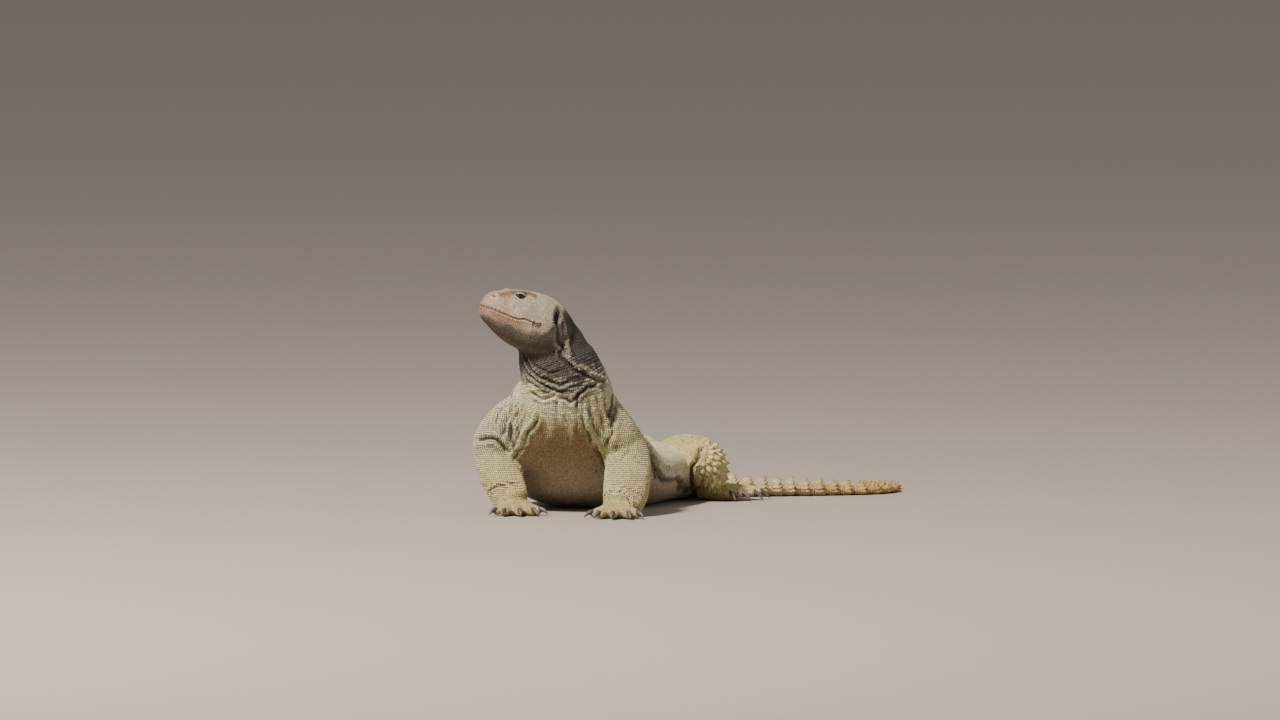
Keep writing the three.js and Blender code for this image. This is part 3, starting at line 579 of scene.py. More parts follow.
def side_distance(line):
    """Distance in the side view from each point of the head to a line, and how far along the line it is."""
    best, best_share = np.full(len(skin_points), FAR), np.zeros(len(skin_points))
    for number, (start, end) in enumerate(zip(line, line[1:])):
        start, step = np.array(start), np.array(end) - start
        gap = head_points[:, (0, 2)] - start
        share = np.clip(gap @ step / (step @ step), 0, 1)
        distance = np.linalg.norm(gap - share[:, None] * step, axis=1)
        best_share = np.where(distance < best, number + share, best_share)
        best = np.minimum(best, distance)
    return best, best_share


mouth_gap, mouth_share = side_distance(MOUTH)
mouth_fade = np.clip((6 - mouth_share) / 0.5, 0, 1) * on_head
lift -= mouth_fade * 1.1 * bell(mouth_gap, 0.7)
# The mouth line is painted dark, as shade.
mouth_line_shade = bell(mouth_gap, 0.75) * mouth_fade
brow_gap, _ = side_distance(BROW)
lift += on_head * 0.5 * bell(brow_gap, 1.9)
HEAD_SWELLINGS = [
    ((8, -3), 9, 1.5), ((12, 12), 6, 0.7), ((41, 8.5), 4.5, -1.5), ((24, 5), 5, 0.6),
    ((26, -9), 5, -0.5), ((50, 9.5), 4, 0.8), ((17, 9), 4, -0.6), ((36, -1), 4, 0.5),
]
for middle, spread, height in HEAD_SWELLINGS:
    gap = np.hypot(forward_of - middle[0], up_of - middle[1])
    lift += on_head * height * bell(gap, spread)
nostril_gap = np.hypot(forward_of - NOSTRIL[0], up_of - NOSTRIL[1])
at_nostril = on_head * (np.abs(left_of) > 5)
lift += at_nostril * (0.6 * bell(nostril_gap - 1.9, 0.9) - 2.2 * bell(nostril_gap, 1.0))
ear_gap = np.hypot((forward_of - EAR[0]) / EAR_HALF[0], (up_of - EAR[1]) / EAR_HALF[1])
at_ear = on_head * (np.abs(left_of) > 12)
lift += at_ear * (0.4 * bell(ear_gap - 1.5, 0.4) - 3.2 * np.clip(1.5 * (1.15 - ear_gap), 0, 1))

# Each ring of the tail swells from its narrow front to its rear edge, where it drops to the next, and the
# rings grow shorter by an even step towards the tip
TAIL_WHORLS = 21
SHORTENING = 0.09
tail_places = np.linspace(1, len(TAIL) - 1, 600)


def run_along(points):
    """How far along a line of points each of them is."""
    return np.concatenate([[0], np.cumsum(np.linalg.norm(np.diff(points, axis=0), axis=1))])


tail_run = run_along(row_at(TAIL, tail_places)[:, :3])


def whorl_place(share):
    """The place along the tail's rows of a share of its rings."""
    return np.interp(tail_run[-1] * share * (1 + SHORTENING - SHORTENING * share), tail_run, tail_places)


on_tail = over("tail") & (place > 1)
gone = np.interp(place, tail_places, tail_run) / tail_run[-1]
root = np.sqrt((1 + SHORTENING) ** 2 - 4 * SHORTENING * gone)
whorl_phase = TAIL_WHORLS * (1 + SHORTENING - root) / (2 * SHORTENING) % 1
thickness = row_at(TAIL, place)[:, 3] / 19
lift += on_tail * thickness * (1.5 * whorl_phase ** 1.4 - 0.75)
# Painted shade in the narrow gaps between the tail's rings.
fold_mark -= on_tail * 0.6 * (bell(whorl_phase, 0.1) + bell(1 - whorl_phase, 0.06))
skin_points = skin_points + normals * lift[:, None]

# The lids bulge from the head as a ball, and the skin is drawn in behind the slit between them
head_points = in_head(skin_points)
in_slit = np.zeros(len(skin_points))
for side in (1, -1):
    spoke = head_points - EYE * (1, side, 1)
    outward = spoke[:, 1] * side
    far = np.linalg.norm(spoke, axis=1)
    round_lid = (far < LID_RADIUS + 0.6) & (outward > -1)
    swell = np.clip((LID_RADIUS - far) / 1.2, 0, 1) * round_lid
    rise = np.where(spoke[:, 2] > 0, UPPER_SLIT, LOWER_SLIT)
    almond = np.abs(spoke[:, 2]) / np.maximum(rise * (1 - (spoke[:, 0] / EYE_SLIT_HALF) ** 2), 0.01)
    inside = (almond < 1) & (np.abs(spoke[:, 0]) < EYE_SLIT_HALF) & (outward > 0) & (far < 9)
    lid = np.where(spoke[:, 2] < 3.4, LID_RADIUS - 0.35, 0)
    wanted = np.where(inside, EYE_RADIUS - 1.4, np.maximum(far, lid))
    move = (round_lid | inside) & (outward > 0)
    spoke = np.where(move[:, None], spoke * (wanted / np.maximum(far, 0.1))[:, None], spoke)
    head_points = np.where(move[:, None], spoke + EYE * (1, side, 1), head_points)
    in_slit = np.maximum(in_slit, inside)
plate_mark = on_head & (((mouth_gap < 2.0) & (mouth_fade > 0.3))
                        | (np.abs(left_of) > 5) & ((nostril_gap < 2.3) | (brow_gap < 1.0)))
skin_points = np.where(on_head[:, None], from_head(head_points), skin_points)
skin_points[:, 2] = np.maximum(skin_points[:, 2], FLOOR_CLEARANCE)
normals = shape_skin(skin_points)
skin_tree = BVHTree.FromPolygons(skin_points.tolist(), skin_faces)
skin_corners = [face[0] for face in skin_faces]

# The hide's markings, as shares from 0 to 1 at each point: charcoal neck, head that is pink at the snout,
# dark throat that is partly painted shade under the jaw, brown underside that is partly painted shade, orange
# tail, yellow legs, brown bands, dark smudges of painted shade and dark patches, pale spots and painted
# highlights, a sore spot and painted shade in the flank hollows, and painted light from the floor under the
# belly
forward_of, left_of, up_of = head_points.T


def ramp(value, low, high):
    """0 below low, 1 above high and a smooth rise between."""
    share = np.clip((value - low) / (high - low), 0, 1)
    return share * share * (3 - 2 * share)


ragged = 1.3 * np.sin(turned / 7.0 + 2 * place) + 0.9 * np.sin(turned / 3.1 + 5 * place)
behind_jaw = forward_of + 0.83 * np.minimum(up_of, 0) + 0.5 * np.maximum(up_of, 0) + ragged
NECK_ENDS = ((0, 90, 180, 225, 250, 276, 300, 330, 360), (2.8, 2.9, 2.2, 2.35, 2.8, 3.2, 3.25, 2.95, 2.8))
past_neck = place - np.interp(turned, *NECK_ENDS) + 0.11 * ragged
neck_mark = np.where(on_trunk, 1 - 0.45 * ramp(past_neck, -0.15, 0.2) - 0.55 * ramp(past_neck, 0.5, 0.95), 0)
neck_mark = np.where(on_skull | (on_trunk & (place < 2.0)), 1 - ramp(behind_jaw, -2.5, 2), neck_mark)
face_mark = on_skull * ramp(forward_of - 0.5 * np.maximum(up_of - 12, 0) - 0.5 * up_of, 4, 54)
# The throat's dark brown; under the jaw line of the head it is partly painted shade.
below_jaw = np.interp(forward_of, *JAW_SHADE) - up_of + 0.6 * ragged
under_neck = 0.45 * bell(turned - 256, 40) * ramp(3.1 - place, 0, 1.1)
throat_brown_and_shade_mark = np.where(on_skull, ramp(below_jaw, -6, 4), on_trunk * under_neck)
BELLY_EDGES = ((4.3, 4.7, 5.1, 5.6, 6.0, 6.6, 9.0, 12.0), (248, 244, 238, 231, 226, 219, 192, 192),
               (285, 288, 291, 297, 301, 308, 348, 348))
between_edges = np.minimum(turned - np.interp(place, BELLY_EDGES[0], BELLY_EDGES[1]),
                           np.interp(place, BELLY_EDGES[0], BELLY_EDGES[2]) - turned)
streaks = 0.3 * np.sin(turned / 2.6) + 0.15 * np.sin(turned / 1.3 + 1)
wavy_edge = between_edges + 1.5 * np.sin(place * 11)
belly_mark = on_trunk * ramp(wavy_edge, -2, 5) * ramp(place + streaks, 4.1, 5.5)
# Parts of the trunk that face the floor take the underside's brown, which there is painted shade.
facing_down = ramp(-normals[:, 2] * (skin_points[:, 2] < 45), 0.2, 0.7)
belly_mark = np.maximum(belly_mark, on_trunk * facing_down)
# The underside grows lighter towards the floor: painted light thrown up from it.
painted_floor_light_mark = belly_mark * ramp(62 - skin_points[:, 2], 0, 45)
tail_mark = np.where(over("tail"), ramp(place, 0.0, 6.5) * 0.7 + 0.3, ramp(place, 12.5, 14) * 0.3 * on_trunk)
tail_mark = np.maximum(tail_mark, 0.45 * over("hand"))
fore_mark = 0.6 * over("foreleg", "hand") * ramp(place + 5 * over("hand"), 2.5, 5)
leg_mark = np.where(over("thigh", "shin", "foot"), 1.0, fore_mark)
mouth_line = np.array(MOUTH[::-1], float).T
below_mouth = np.interp(forward_of, *mouth_line) - up_of
band_gap, _ = side_distance(BROWN_BAND)
# Under the lip the warm brown is partly painted shade, which dims the lower lip's highlight.
under_lip = (0.55 * bell(below_mouth - 3.5, 3.5) + 0.3 * bell(below_mouth - 1, 1)) * ramp(forward_of, 18, 30)
warm_mark = on_skull * np.clip(under_lip + bell(band_gap, 2.0) * (np.abs(left_of) > 3), 0, 1)
sore_and_hollow_shade_mark = on_skull * bell(np.hypot((forward_of - 16.5) / 1.9, up_of + 4.5), 3.3)
# Pale marks: a painted sheen on the chest, and cream below the eye and round the nostril.
pale_and_highlight_mark = on_trunk * 0.65 * bell(place - 4.1, 0.9) * bell(turned - 268, 60)
below_eye = bell(np.hypot(forward_of - 33, up_of - 1), 6)
pale_and_highlight_mark += at_nostril * bell(nostril_gap, 3.6) + on_skull * 0.5 * below_eye


def smudges(entries):
    """A mark of blurred strokes: strength, half width and the places that each runs through, as for folds."""
    total = np.zeros(len(skin_points))
    for strength, width, (line, _) in both_sides(entries):
        distance, _ = nearest_on(line, skin_points, 3 * width)
        total = np.maximum(total, strength * bell(distance, width))
    return total


# Dark smudges: painted shade behind each arm on the flank, beside the chest and at each groin, together with
# dark patches of the hide on the shoulder.
shade_and_patches_mark = smudges([
    (0.9, 3.5, "trunk 4.3 350 4.45 338 4.9 326"),
    (0.8, 3, "foreleg_left 1.15 315 1.4 290"),
    (0.85, 4.5, "trunk 5.3 205 5.65 212 5.95 219"),
    (0.6, 3, "trunk 4.6 192 5.2 197"),
    (0.6, 3.5, "trunk 5.0 302 5.6 312 5.9 318"),
    (1.0, 5, "trunk 7.7 0 8.1 354 8.5 350"),
    (0.9, 5, "trunk 7.7 180 8.1 186 8.5 190"),
    (0.8, 3, "trunk 4.3 170 4.5 182"),
    (0.85, 6, "trunk 10.7 338 11.5 331 12.2 325", "both"),
])
# Painted shade round each ear's opening and along the brow over each eye.
jaw_edge_gap, _ = side_distance([(1, 0), (3.5, -6), (5, -10)])
over_eye_gap, _ = side_distance([(22, 17.2), (26, 18.4), (31, 18.8), (36, 17.4), (39, 15.6)])
round_ear = np.maximum(ear_gap - 1, 0) + 0.3 * (forward_of < EAR[0])
for dusk in (at_ear * bell(jaw_edge_gap, 3.0), at_ear * bell(round_ear, 1.0),
             on_skull * 0.62 * bell(over_eye_gap, 1.2) * (np.abs(left_of) > 5)):
    shade_and_patches_mark = np.maximum(shade_and_patches_mark, dusk)
# Painted highlights along the crest of each flank fold.
pale_and_highlight_mark += smudges([
    (0.9, 1.6, "trunk 7.4 12 8.1 5 8.5 1 8.8 356"),
    (0.6, 2.5, "trunk 9.2 354 10.1 355 11 349"),
    (0.9, 1.6, "trunk 7.4 168 8.1 175 8.5 179"),
    (0.6, 2.5, "trunk 9.2 186 10.1 185 11 191"),
])
# Painted shade, dark red, in the hollow under each flank fold behind the arm.
sore_and_hollow_shade_mark += smudges([(1.0, 3.2, "trunk 8.6 344 8.8 343", "both")])
marks = dict(neck=neck_mark, face=face_mark, belly=belly_mark, tail=tail_mark, leg=leg_mark, warm=warm_mark,
             sore=sore_and_hollow_shade_mark, head=1.0 * on_skull, throat=throat_brown_and_shade_mark, dusk=shade_and_patches_mark, pale=pale_and_highlight_mark,
             low=painted_floor_light_mark)
skin_marks = {name: np.clip(eased(values[:, None], 0.6, 3)[:, 0], 0, 1) for name, values in marks.items()}
skin_marks["fold"] = np.clip(fold_mark, -1, 1)
# Painted shade, almost black, in the mouth line, the slits between the lids, the nostrils and the ear slits.
opening_shade = np.maximum(mouth_line_shade, in_slit) + at_nostril * 1.3 * bell(nostril_gap, 1.15)
opening_shade = opening_shade + at_ear * np.clip(1.6 * (1.15 - ear_gap), 0, 1)
skin_marks["mouth"] = np.clip(opening_shade, 0, 1)


def add_mark(mesh, name, values):
    """A number for each point of a mesh, which its material reads by name."""
    mesh.attributes.new(name, "FLOAT", "POINT").data.foreach_set("value", values.astype(np.float32))


for name, values in skin_marks.items():
    add_mark(skin_mesh, name, values)


class Shade:
    """A socket of a material's nodes; sums on it add Math nodes, and mixes of colours add Mix nodes."""

    def __init__(self, tree, socket=None):
        self.tree, self.socket = tree, socket

    def node(self, kind, settings=None, inputs=None, output=0):
        """One output of a new node, with these settings and inputs."""
        made = self.tree.nodes.new("ShaderNode" + kind)
        for name, value in (settings or {}).items():
            setattr(made, name, value)
        for name, value in (inputs or {}).items():
            if isinstance(value, Shade):
                self.tree.links.new(value.socket, made.inputs[name])
            else:
                made.inputs[name].default_value = value
        return Shade(self.tree, made.outputs[output])

    def sum(self, operation, *values):
        """The result of a Math node on these values."""
        return self.node("Math", dict(operation=operation), dict(enumerate(values)))

    def __add__(self, other):
        return self.sum("ADD", self, other)

    __radd__ = __add__

    def __sub__(self, other):
        return self.sum("SUBTRACT", self, other)

    def __rsub__(self, other):
        return self.sum("SUBTRACT", other, self)

    def __mul__(self, other):
        return self.sum("MULTIPLY", self, other)

    __rmul__ = __mul__

    def kept(self, low, high):
        """0 below low, 1 above high and a smooth rise between."""
        return self.node("MapRange", dict(interpolation_type="SMOOTHSTEP"),
                         {"Value": self, "From Min": low, "From Max": high})

    def between(self, start, end):
        """The colour between two, by this share."""
        colours = [value if isinstance(value, Shade) else (*value, 1) for value in (start, end)]
        return self.node("Mix", dict(data_type="RGBA"), {0: self, 6: colours[0], 7: colours[1]}, output=2)


def mark(shade, name):
    """A mark of the mesh that the material is on."""
    return shade.node("Attribute", dict(attribute_name=name), output=2)


def scaly_hide(name, in_gaps):
    """The hide's colours: for the skin in the gaps, or for the scales that stand over it."""
    material, body = new_finish(name, 0.62)
    body.inputs["Specular IOR Level"].default_value = 0.35
    start = Shade(material.node_tree)
    where = start.node("TexCoord", output=3)
    broad = start.node("TexNoise", None, {"Vector": where, "Scale": 14.0, "Detail": 3.0})
    blotch = start.node("TexNoise", None, {"Vector": where, "Scale": 75.0, "Detail": 4.0, "Roughness": 0.6})
    grain = start.node("TexNoise", None, {"Vector": where, "Scale": 420.0, "Detail": 2.0})
    fleck = start.node("TexNoise", None, {"Vector": where, "Scale": 230.0, "Detail": 1.0})
    neck, belly, fold = mark(start, "neck"), mark(start, "belly"), mark(start, "fold")

    def blotched(share, unevenness, low, high):
        """A share whose edge is broken up by blotches."""
        return (share + (blotch - 0.5) * unevenness).kept(low, high)

    colour = broad.kept(0.35, 0.68).between((0.65, 0.59, 0.32), (0.61, 0.59, 0.40))
    colour = (blotch.kept(0.48, 0.72) * 0.5).between(colour, (0.40, 0.345, 0.20))
    colour = (mark(start, "leg") * (0.55 + broad * 0.6)).between(colour, (0.66, 0.545, 0.235))
    colour = blotched(mark(start, "tail"), 0.5, 0.1, 0.9).between(colour, (0.50, 0.305, 0.095))
    head = blotched(mark(start, "face"), 0.5, 0.0, 1.0).between((0.40, 0.365, 0.25), (0.44, 0.285, 0.21))
    colour = mark(start, "head").between(colour, head)
    colour = blotched(mark(start, "warm"), 0.5, 0.2, 0.9).between(colour, (0.215, 0.13, 0.072))
    # Pale marks, partly painted highlight and sheen.
    colour = (mark(start, "pale") * (blotch + 0.3)).kept(0.1, 0.8).between(colour, (0.68, 0.635, 0.49))
    # A sore spot on the head, and painted shade in the flank hollows.
    sore = (mark(start, "sore") * (grain * 1.5 - 0.05)).kept(0.3, 0.62)
    colour = sore.between(colour, (0.10, 0.048, 0.043))
    # The underside's brown is partly painted shade where it faces down, and it is lighter near the floor as
    # painted light.
    under = mark(start, "low").between((0.275, 0.178, 0.098), (0.46, 0.38, 0.26))
    colour = blotched(belly, 0.35, 0.1, 1.0).between(colour, under)
    # Dark smudges: painted shade, and dark patches of the hide.
    colour = blotched(mark(start, "dusk"), 0.9, 0.3, 0.9).between(colour, (0.105, 0.09, 0.08))
    # On the neck, paler crests of the folds, partly painted highlight, and charcoal in their creases, partly
    # painted shade.
    neck_fold_light_and_shade = blotched(neck - fold * 0.65, 0.6, 0.25, 0.85)
    colour = blotched(neck, 0.35, 0.15, 0.5).between(
        colour, neck_fold_light_and_shade.between((0.29, 0.27, 0.195), (0.052, 0.049, 0.039)))
    # Dark brown of the throat, partly painted shade under the jaw.
    throat = ((mark(start, "throat") + (blotch - 0.5) * 0.4) * (1 - fold * 0.6)).kept(0.1, 0.9)
    colour = throat.between(
        colour, blotch.kept(0.35, 0.65).between((0.100, 0.080, 0.058), (0.150, 0.124, 0.093)))
    # Painted shade in the creases of the folds.
    crease_shade = (fold * -1).kept(0.2, 0.9) * (0.75 + neck * 0.25)
    colour = crease_shade.between(colour, (0.055, 0.042, 0.03))
    colour = (fleck.kept(0.68, 0.72) * (1 - neck) * 0.5).between(colour, (0.12, 0.09, 0.06))
    # Painted shade in the mouth line, lid slits, nostrils and ears.
    colour = (mark(start, "mouth") * 0.9).between(colour, (0.05, 0.025, 0.02))
    # The skin in the gaps is darkened as painted shade; each scale gets a random tint instead.
    if in_gaps:
        share, shade_and_tint = 0.75, (0.42, 0.36, 0.30, 1)
    else:
        tint = (mark(start, "tint") * 0.8 + (grain - 0.5) * 0.5).kept(0.0, 1.0)
        share, shade_and_tint = 1.0, tint.between((0.62, 0.60, 0.57), (1.0, 1.0, 1.0))
    colour = start.node("Mix", dict(data_type="RGBA", blend_type="MULTIPLY"),
                        {0: share, 6: colour, 7: shade_and_tint}, output=2)
    if not in_gaps:
        tip = mark(start, "tip")
        colour = (tip * 0.5).between(colour, (0.66, 0.56, 0.40))
        # Painted shade on each scale's rim and rear edge.
        rim = mark(start, "rim").kept(0.55, 1.0) * (1 - tip) * (1 - belly * 0.6) * 0.5
        colour = rim.between(colour, (0.10, 0.072, 0.045))
    start.tree.links.new(colour.socket, body.inputs["Base Color"])
    bump = start.node("Bump", None, {"Height": grain + blotch * 0.6, "Strength": 0.35, "Distance": 0.0004})
    start.tree.links.new(bump.socket, body.inputs["Normal"])
    return material


METRES_PER_MILLIMETRE = 0.001


def in_frame(points):
    """The animal's millimetres in the frame's metres."""
    return (points + ROWS_TO_FRAME) * METRES_PER_MILLIMETRE


shape_skin(in_frame(skin_points))
skin_mesh.polygons.foreach_set("use_smooth", [True] * len(skin_mesh.polygons))
skin_mesh.materials.clear()
skin_mesh.materials.append(scaly_hide("hide_between_scales", True))
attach(skin, "root")
flesh = [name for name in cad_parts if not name.startswith(("eye", "ear", "claw"))]
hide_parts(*flesh)

# Scales
# Horny plates of the hide, each a low pebble with its front edge sunk in the skin and its rear edge free.
# They stand in rings round each mass, and every second ring is turned by half a scale.
PEBBLE_POINTS = np.array([
    (0.55, 0, 0.1), (0.3, 0.47, -0.25), (-0.3, 0.45, -0.7), (-0.55, 0, -0.8), (-0.3, -0.45, -0.7),
    (0.3, -0.47, -0.25), (0.46, 0, 0.85), (0.24, 0.36, 0.6), (-0.2, 0.33, 0.2), (-0.38, 0, 0.1),
    (-0.2, -0.33, 0.2), (0.24, -0.36, 0.6), (0.1, 0, 1.0),
])
PEBBLE_TOP = [(side, (side + 1) % 6, side + 6) for side in range(6)]
PEBBLE_TOP += [((side + 1) % 6, (side + 1) % 6 + 6, side + 6) for side in range(6)]
PEBBLE_TOP += [(side + 6, (side + 1) % 6 + 6, 12) for side in range(6)]
PEBBLE_UNDER = [(0, 5, 1), (1, 5, 2), (2, 5, 4), (2, 4, 3)]
PEBBLE = dict(points=PEBBLE_POINTS, top=PEBBLE_TOP, under=PEBBLE_UNDER, pointed=0)
PATCH = 0.0024
MAP_PER_MILLIMETRE, MAP_GAP = 0.0012, 0.002
GIRTH_SHARE = 0.9


def map_places():
    """A rectangle of the coat's map for each mass, in shelves: across for its girth, up for its length."""
    sizes = []
    for name, part in parts.items():
        girth = 2 * math.pi * max(row[3] for row in part["rows"]) * GIRTH_SHARE
        sizes.append((part["length"], girth, name))
    left = bottom = shelf = 0.0
    for length, girth, name in sorted(sizes, reverse=True):
        width, height = girth * MAP_PER_MILLIMETRE, length * MAP_PER_MILLIMETRE
        if left + width > 1:
            left, bottom, shelf = 0.0, bottom + shelf, 0.0
        parts[name]["map"] = (left, bottom, width, height)
        left += width + MAP_GAP
        shelf = max(shelf, height + MAP_GAP)


map_places()


def map_spots(name, angles, share):
    """Places in the coat's map for scales at angles round a mass and shares of the way along it."""
    left, bottom, width, height = parts[name]["map"]
    return np.stack([left + angles % (2 * math.pi) / (2 * math.pi) * width, bottom + share * height], 1)


def near_eye(points):
    """Whether points stand on the ball of either lid, which has finer scales of its own."""
    gaps = [np.linalg.norm(in_head(points) - EYE * (1, side, 1), axis=1) for side in (1, -1)]
    return np.minimum(*gaps) < LID_RADIUS + 0.5


CAST_FROM, CAST_REACH = 5, 9


def rooted(points, ways, outs=None, own=None):
    """Roots on the skin at points, met from outside along outs or else nearest; its normal, the way back
    along it, and its marks' number."""
    roots, ups, numbers = np.zeros((len(points), 3)), np.zeros((len(points), 3)), np.zeros(len(points), int)
    find, cast = skin_tree.find_nearest, skin_tree.ray_cast
    starts = None if outs is None else (points + CAST_FROM * outs).tolist()
    inward = None if outs is None else (-outs).tolist()
    for index, point in enumerate(points.tolist()):
        found = (None,) * 4
        if outs is not None:
            found = cast(starts[index], inward[index], CAST_REACH)
        if found[0] is None or region[skin_corners[found[2]]] != own:
            found = find(point)
        roots[index], ups[index], numbers[index] = found[0], found[1], skin_corners[found[2]]
    ups = unit(ups + normals[numbers])
    back = unit(ways - ups * (ways * ups).sum(1)[:, None])
    return roots, ups, back, numbers


def batch_of(found, uv, long, wide):
    """What a coat needs of its scales: what rooted found, their places in the map and their sizes."""
    roots, ups, back, numbers = found
    return dict(roots=roots, ups=ups, back=back, numbers=numbers, uv=uv,
                long=np.full(len(roots), long), wide=np.full(len(roots), wide))


SWEEP = np.radians(np.arange(0, 361, 3))
LEVEL_STEP = 0.85  # share of a scale's length from each level ring down to the next
END_GAP = 0.02
DOME_COVER = 0.78
OVERLAP = 1.04
SHORTENED, LENGTHENED = 0.35, 1.5
LEAST_LENGTH, MOST_MOUTH, FARTHEST_ROOT, ABOVE_FLOOR = 0.45, 0.35, 5, 0.8


def round_ring(outline, ring, wide, jitter):
    """Angles of the scales of a ring with this outline, evenly spread, and their width."""
    girth = run_along(outline)
    count = max(int(girth[-1] / wide), 3)
    steps = (np.arange(count) + 0.5 * (ring % 2) + random.uniform(-jitter, jitter, count)) % count
    return np.interp(steps / count * girth[-1], girth, SWEEP), girth[-1] / count


def level_rings(part, drop, wide, jitter):
    """Places, angles, shares, shifts and widths for rings of scales that lie level in the animal's pose."""
    last = len(part["rows"]) - 1
    samples = np.linspace(0, last, 160)
    grid, _ = surface(part, np.repeat(samples, len(SWEEP)), np.tile(SWEEP, len(samples)))
    depths = np.maximum.accumulate(-grid[:, 2].reshape(len(samples), len(SWEEP)), axis=0)
    found = []
    for ring, depth in enumerate(np.arange(depths.min(), depths.max(), drop)):
        values = np.array([np.interp(depth, column, samples) for column in depths.T])
        angles, width = round_ring(surface(part, values, SWEEP)[0], ring, wide, jitter)
        value = np.interp(angles, SWEEP, values)
        rows = np.stack(np.broadcast_arrays(value, angles, 1.0, 0.0, width), 1)
        found.append(rows[(value > END_GAP) & (value < last - END_GAP)])
    return np.concatenate(found)


def ring_scales(name, long, wide, low=0.0, high=None, jitter=0.1, level=False):
    """Roots, sizes and map places of rings of scales over one mass, where the skin there is its own."""
    part = parts[name]
    rows = np.asarray(part["rows"], float)
    last = len(rows) - 1
    high = last if high is None else high
    rings = []
    if not level:
        samples = np.linspace(low, high, 400)
        run = run_along(row_at(rows, samples)[:, :3])
        values = np.interp(np.arange(0.5, run[-1] / long) * long, run, samples)
        rings = [(value, 1.0, 0.0) for value in values]
    for end, depth, wanted in ((0, -part["dome"][0], low == 0), (last, part["dome"][1], high == last)):
        turns = int((abs(depth) + rows[end, 3]) * DOME_COVER / long)
        if wanted and turns > 0:
            bend = (np.arange(turns) + 0.5) / turns * math.pi / 2
            rings += [(end, math.cos(step), math.sin(step) * depth) for step in bend]
    found = []
    for ring, (value, share, shift) in enumerate(rings):
        outline, _ = surface(part, value, SWEEP, share)
        angles, width = round_ring(outline, ring, wide, jitter)
        found.append(np.stack(np.broadcast_arrays(value, angles, share, shift, width), 1))
    if level:
        found.append(level_rings(part, long * LEVEL_STEP, wide, jitter))
    value, angles, share, shift, across = np.concatenate(found).T
    shaken = random.uniform(-jitter, jitter, len(value)) * 0.8 * long / part["length"] * last
    value = np.clip(value + np.where(share == 1, shaken, 0), 0, last)
    points, _ = surface(part, value, angles, share, shift, -COAT_DEPTH)
    near = np.clip(value, SHORT_WAY, last - SHORT_WAY)
    ahead, _ = surface(part, near + SHORT_WAY, angles)
    behind, _ = surface(part, near - SHORT_WAY, angles)
    ways = unit(ahead - behind)
    if level:
        lengths = np.minimum(LEVEL_STEP * long / np.maximum(np.abs(ways[:, 2]), 0.3), LENGTHENED * long)
        ways = np.where(share[:, None] < 1, ways, (0, 0, -1.0))
    else:
        stretch = np.linalg.norm(ahead - behind, axis=1)
        middle = (row_at(rows, near + SHORT_WAY) - row_at(rows, near - SHORT_WAY))[:, :3]
        middle = np.linalg.norm(middle, axis=1)
        lengths = long * np.clip(stretch / np.maximum(middle, 1e-6), SHORTENED, LENGTHENED)
    lengths = np.where(share < 1, long, lengths)
    fuller, _ = surface(part, value, angles, 1.0, 0.0, 1.0)
    plain, along = surface(part, value, angles)
    tilt = np.sqrt(np.maximum(1 - share ** 2, 0)) * np.sign(shift)
    outs = unit(unit(fuller - plain) * share[:, None] + along * tilt[:, None])
    found = rooted(points, ways, outs, part_names.index(name))
    roots, _, _, numbers = found
    own = region[numbers] == part_names.index(name)
    own &= np.linalg.norm(roots - points, axis=1) < FARTHEST_ROOT
    own &= (lengths > LEAST_LENGTH * long) & (skin_marks["mouth"][numbers] < MOST_MOUTH)
    own &= ~near_eye(roots) & ~plate_mark[numbers] & (roots[:, 2] > ABOVE_FLOOR)
    batch = batch_of(found, map_spots(name, angles, value / last), lengths * OVERLAP, across)
    return {key: values[own] for key, values in batch.items()}


def together(batches):
    """Several batches of scales as one."""
    return {key: np.concatenate([batch[key] for batch in batches]) for key in batches[0]}


def mesh_of(name, points, triangles, smooth):
    """A mesh from arrays, in the animal's millimetres, with some of its triangles shaded smooth."""
    mesh = bpy.data.meshes.new(name)
    mesh.vertices.add(len(points))
    mesh.vertices.foreach_set("co", in_frame(points).astype(np.float32).ravel())
    mesh.loops.add(triangles.size)
    mesh.loops.foreach_set("vertex_index", triangles.astype(np.int32).ravel())
    mesh.polygons.add(len(triangles))
    mesh.polygons.foreach_set("loop_start", np.arange(0, triangles.size, 3, dtype=np.int32))
    mesh.polygons.foreach_set("use_smooth", smooth)
    mesh.update(calc_edges=True)
    mesh.validate()
    return mesh


MOST_TRIANGLES = 190000
LOWEST_SCALE = 0.05
HEIGHT_RANGE = (0.8, 1.2)
LOWERED_ON_BELLY = 0.6


